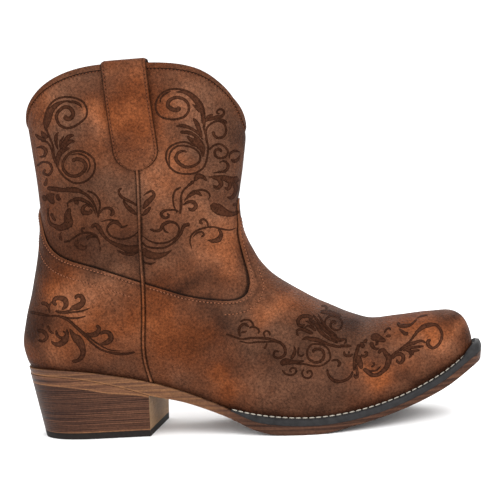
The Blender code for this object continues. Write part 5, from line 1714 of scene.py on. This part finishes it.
def sew_welt(look):
    """Stitches on the welt, between its edge and the upper."""

    def inset(x):
        return bottom("welt_out", x) - WELT_STITCH_INSET

    shares = sole_shares(WELT_STITCH_STEPS)
    sides = [sole_edge(name, inset, shares) for name in ("outer", "inner")]
    outer, inner = (line[line[:, 0] > WELT_END_X + WELT_STITCH_END] for line in sides)
    line = np.concatenate([outer[::-1], inner])
    lift, lip_share = WELT_STITCH_LIFT
    lift = lift + lip_share * WELT_TOE_LIP * eased(*WELT_TOE, line[:, 0])
    path = np.column_stack([line, feather_z(line[:, 0]) + lift])
    upward = np.tile((0.0, 0.0, 1.0), (len(path), 1))
    stitch_row("welt_stitches", path, upward, *WELT_SEWING, "welt", look)


def pixel_ray(x, y):
    """Start and direction of the camera's ray through a pixel."""
    place, right, up, back = camera_axes()
    across, above = (x - IMAGE_SIZE / 2) / CAMERA_FOCUS, (IMAGE_SIZE / 2 - y) / CAMERA_FOCUS
    return place, (right * across + up * above - back).normalized()


def stroke_outline(widths, numbers):
    """Left, middle and right pixels along a smooth stroke."""
    points = np.array(numbers, float).reshape(-1, 2)
    run = lengths_along(points)
    query = np.linspace(0.0, run[-1], int(run[-1] / STROKE_STEP) + 2)
    line = np.stack([smooth(run, points[:, k], query) for k in (0, 1)], 1)
    width = np.interp(query / run[-1], np.linspace(0.0, 1.0, len(widths)), widths)
    tip = np.minimum(query, run[-1] - query) / STROKE_TIP
    half = width / 2 * np.sqrt(np.clip(tip, STROKE_TIP_LEAST, 1.0))
    along = unit(np.gradient(line, axis=0))
    side = np.stack([along[:, 1], -along[:, 0]], 1) * half[:, None]
    return np.stack([line + side, line, line - side], 1)


def laid_on(tree, rays):
    """Points just above the leather that the three rays across a stroke meet, or none where one misses."""
    points = []
    for ray, lift in zip(rays, SCROLL_LIFTS):
        hit, normal = tree.ray_cast(*ray)[:2]
        if hit is None or abs(normal.y) < LEAST_FACING:
            return None
        points.append(hit + normal * lift)
    return points


def repeated(tree, pixels):
    """Rays at the inner side, level with the places that the pixels show on the outer side."""
    hits = [tree.ray_cast(*pixel_ray(*pixel))[0] for pixel in pixels]
    return [(Vector((hit.x, RAY_START, hit.z)), Vector((0.0, NEAR, 0.0))) for hit in hits]


def add_ribbon(bm, rows, inside, order):
    """Faces between a stroke's rows; inside keeps the distance of the middle points from the edge."""
    last = None
    for row in rows:
        verts = None
        if row:
            verts = [bm.verts.new(point) for point in row]
            # half width, from which the scroll look paints shade at the stroke's borders
            verts[1][inside] = (row[0] - row[2]).length / 2
        for j in range(2 if row and last else 0):
            bm.faces.new((last[j], last[j + 1], verts[j + 1], verts[j])[::order])
        last = verts


def build_scrolls(group, strokes, tree, look):
    """Strokes of one group as thin ribbons on the leather, on the outer side and repeated on the inner."""
    outer, inner = [], []
    for widths, numbers in strokes:
        pixel_rows = stroke_outline(widths, numbers)
        outer.append([laid_on(tree, [pixel_ray(*pixel) for pixel in pixels]) for pixels in pixel_rows])
        pairs = zip(outer[-1], pixel_rows)
        inner.append([row and laid_on(tree, repeated(tree, pixels)) for row, pixels in pairs])
    for name, ribbons, order in (("outer", outer, 1), ("inner", inner, -1)):
        bm = bmesh.new()
        inside = bm.verts.layers.float.new("edge")
        for rows in ribbons:
            add_ribbon(bm, rows, inside, order)
        bmesh.ops.delete(bm, geom=[vert for vert in bm.verts if not vert.link_faces], context="VERTS")
        obj = piece("scroll_%s_%s" % (group, name), bm, [look])
        paint(obj, "tone", trim_tone(*SCROLL_TONE))


def camera_axes():
    """The camera's place in millimetres and its right, up and backward directions."""
    azimuth, elevation, roll = (math.radians(a) for a in (CAMERA_AZIMUTH, CAMERA_ELEVATION, CAMERA_ROLL))
    level = math.cos(elevation)
    back = Vector((math.sin(azimuth) * level, -math.cos(azimuth) * level, math.sin(elevation)))
    right = Vector((0.0, 0.0, 1.0)).cross(back).normalized()
    up = back.cross(right)
    turned_right = right * math.cos(roll) - up * math.sin(roll)
    turned_up = right * math.sin(roll) + up * math.cos(roll)
    return Vector(CAMERA_TARGET) + back * CAMERA_DISTANCE, turned_right, turned_up, back


def make_camera():
    place, right, up, back = camera_axes()
    data = bpy.data.cameras.new("photo_camera")
    data.sensor_width = SENSOR
    data.lens = CAMERA_FOCUS * SENSOR / IMAGE_SIZE
    obj = bpy.data.objects.new("photo_camera", data)
    obj.matrix_world = Matrix.Translation(place * MM) @ Matrix((right, up, back)).transposed().to_4x4()
    bpy.context.scene.collection.objects.link(obj)
    bpy.context.scene.camera = obj


def area_light(name, place, target, size, power):
    data = bpy.data.lights.new(name, "AREA")
    data.shape = "DISK"
    data.size = size
    data.energy = power
    obj = bpy.data.objects.new(name, data)
    obj.location = place
    obj.rotation_euler = (Vector(target) - Vector(place)).to_track_quat("-Z", "Y").to_euler()
    bpy.context.scene.collection.objects.link(obj)


def make_studio():
    """Pale floor, soft lights and an even white surround."""
    bm = bmesh.new()
    bmesh.ops.create_grid(bm, x_segments=2, y_segments=2, size=FLOOR_SIZE)
    mesh = bpy.data.meshes.new("floor")
    bm.to_mesh(mesh)
    bm.free()
    look = Look("floor")
    stops = tuple(zip(SHADE_STOPS, (COLOURS["floor_shade"], COLOURS["floor"])))
    shade = look.ramp(look.noise(*FLOOR_SHADE), stops)
    mesh.materials.append(look.finish(shade, look.noise(*FLOOR_BUMP), FLOOR_DEPTH, FLOOR_ROUGHNESS))
    floor = bpy.data.objects.new("floor", mesh)
    bpy.context.scene.collection.objects.link(floor)
    world = bpy.data.worlds.new("studio")
    world.use_nodes = True
    background = world.node_tree.nodes["Background"]
    background.inputs["Color"].default_value = (1.0, 1.0, 1.0, 1.0)
    background.inputs["Strength"].default_value = WORLD_STRENGTH
    bpy.context.scene.world = world
    for name, values in LIGHTS.items():
        area_light(name, *values)
    bpy.context.scene.view_settings.view_transform = "Standard"


def main():
    make_camera()
    make_studio()
    rows, heel = upper_grid(SPANS, SIDE_STEPS)
    normals = grid_normals(rows, heel)
    rows = rows - normals * crease_depth(rows)[:, :, None]
    rows[..., 2] += collar_rise(rows)
    looks = make_looks()
    trim = looks["trim_leather"]
    thread = (looks["thread"], looks["pinhole"])
    red_thread = (looks["red_thread"], looks["pinhole"])

    shaft = build_shaft(rows, normals, heel, [looks["shaft_leather"], looks["lining"]])
    panel_looks = [looks["foot_leather"], looks["cut_edge"]]
    panels = {
        "vamp": build_overlay("vamp_panel", rows, FRONT, panel_looks, "vamp"),
        "counter": build_overlay("counter_panel", rows, BACK, panel_looks, "counter"),
    }
    shaft_tree = tree_of(shaft)
    for name, side in SIDES:
        build_piping("piping_" + name, shaft_tree, side, trim, "side_piping_" + name)
        collar_top = rows[-1][rows[-1][:, 1] * side > STRAP_RIM, 2].max()
        build_strap("strap_" + name, shaft_tree, collar_top, side, trim, red_thread, "pull_strap_" + name)
    build_binding(rows, normals, trim)
    build_outsole(looks["sole_edge"])
    build_welt(looks["welt"])
    build_heel(looks)
    sew_topline(rows, panels, thread)
    sew_collar(rows, normals, red_thread)
    sew_welt(looks["welt_thread"])
    leather_tree = tree_of(shaft, *panels.values())
    for group, strokes in SCROLLS.items():
        build_scrolls(group, strokes, leather_tree, looks["scroll"])
    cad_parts["insole"].material_slots[0].material = looks["lining"]


main()
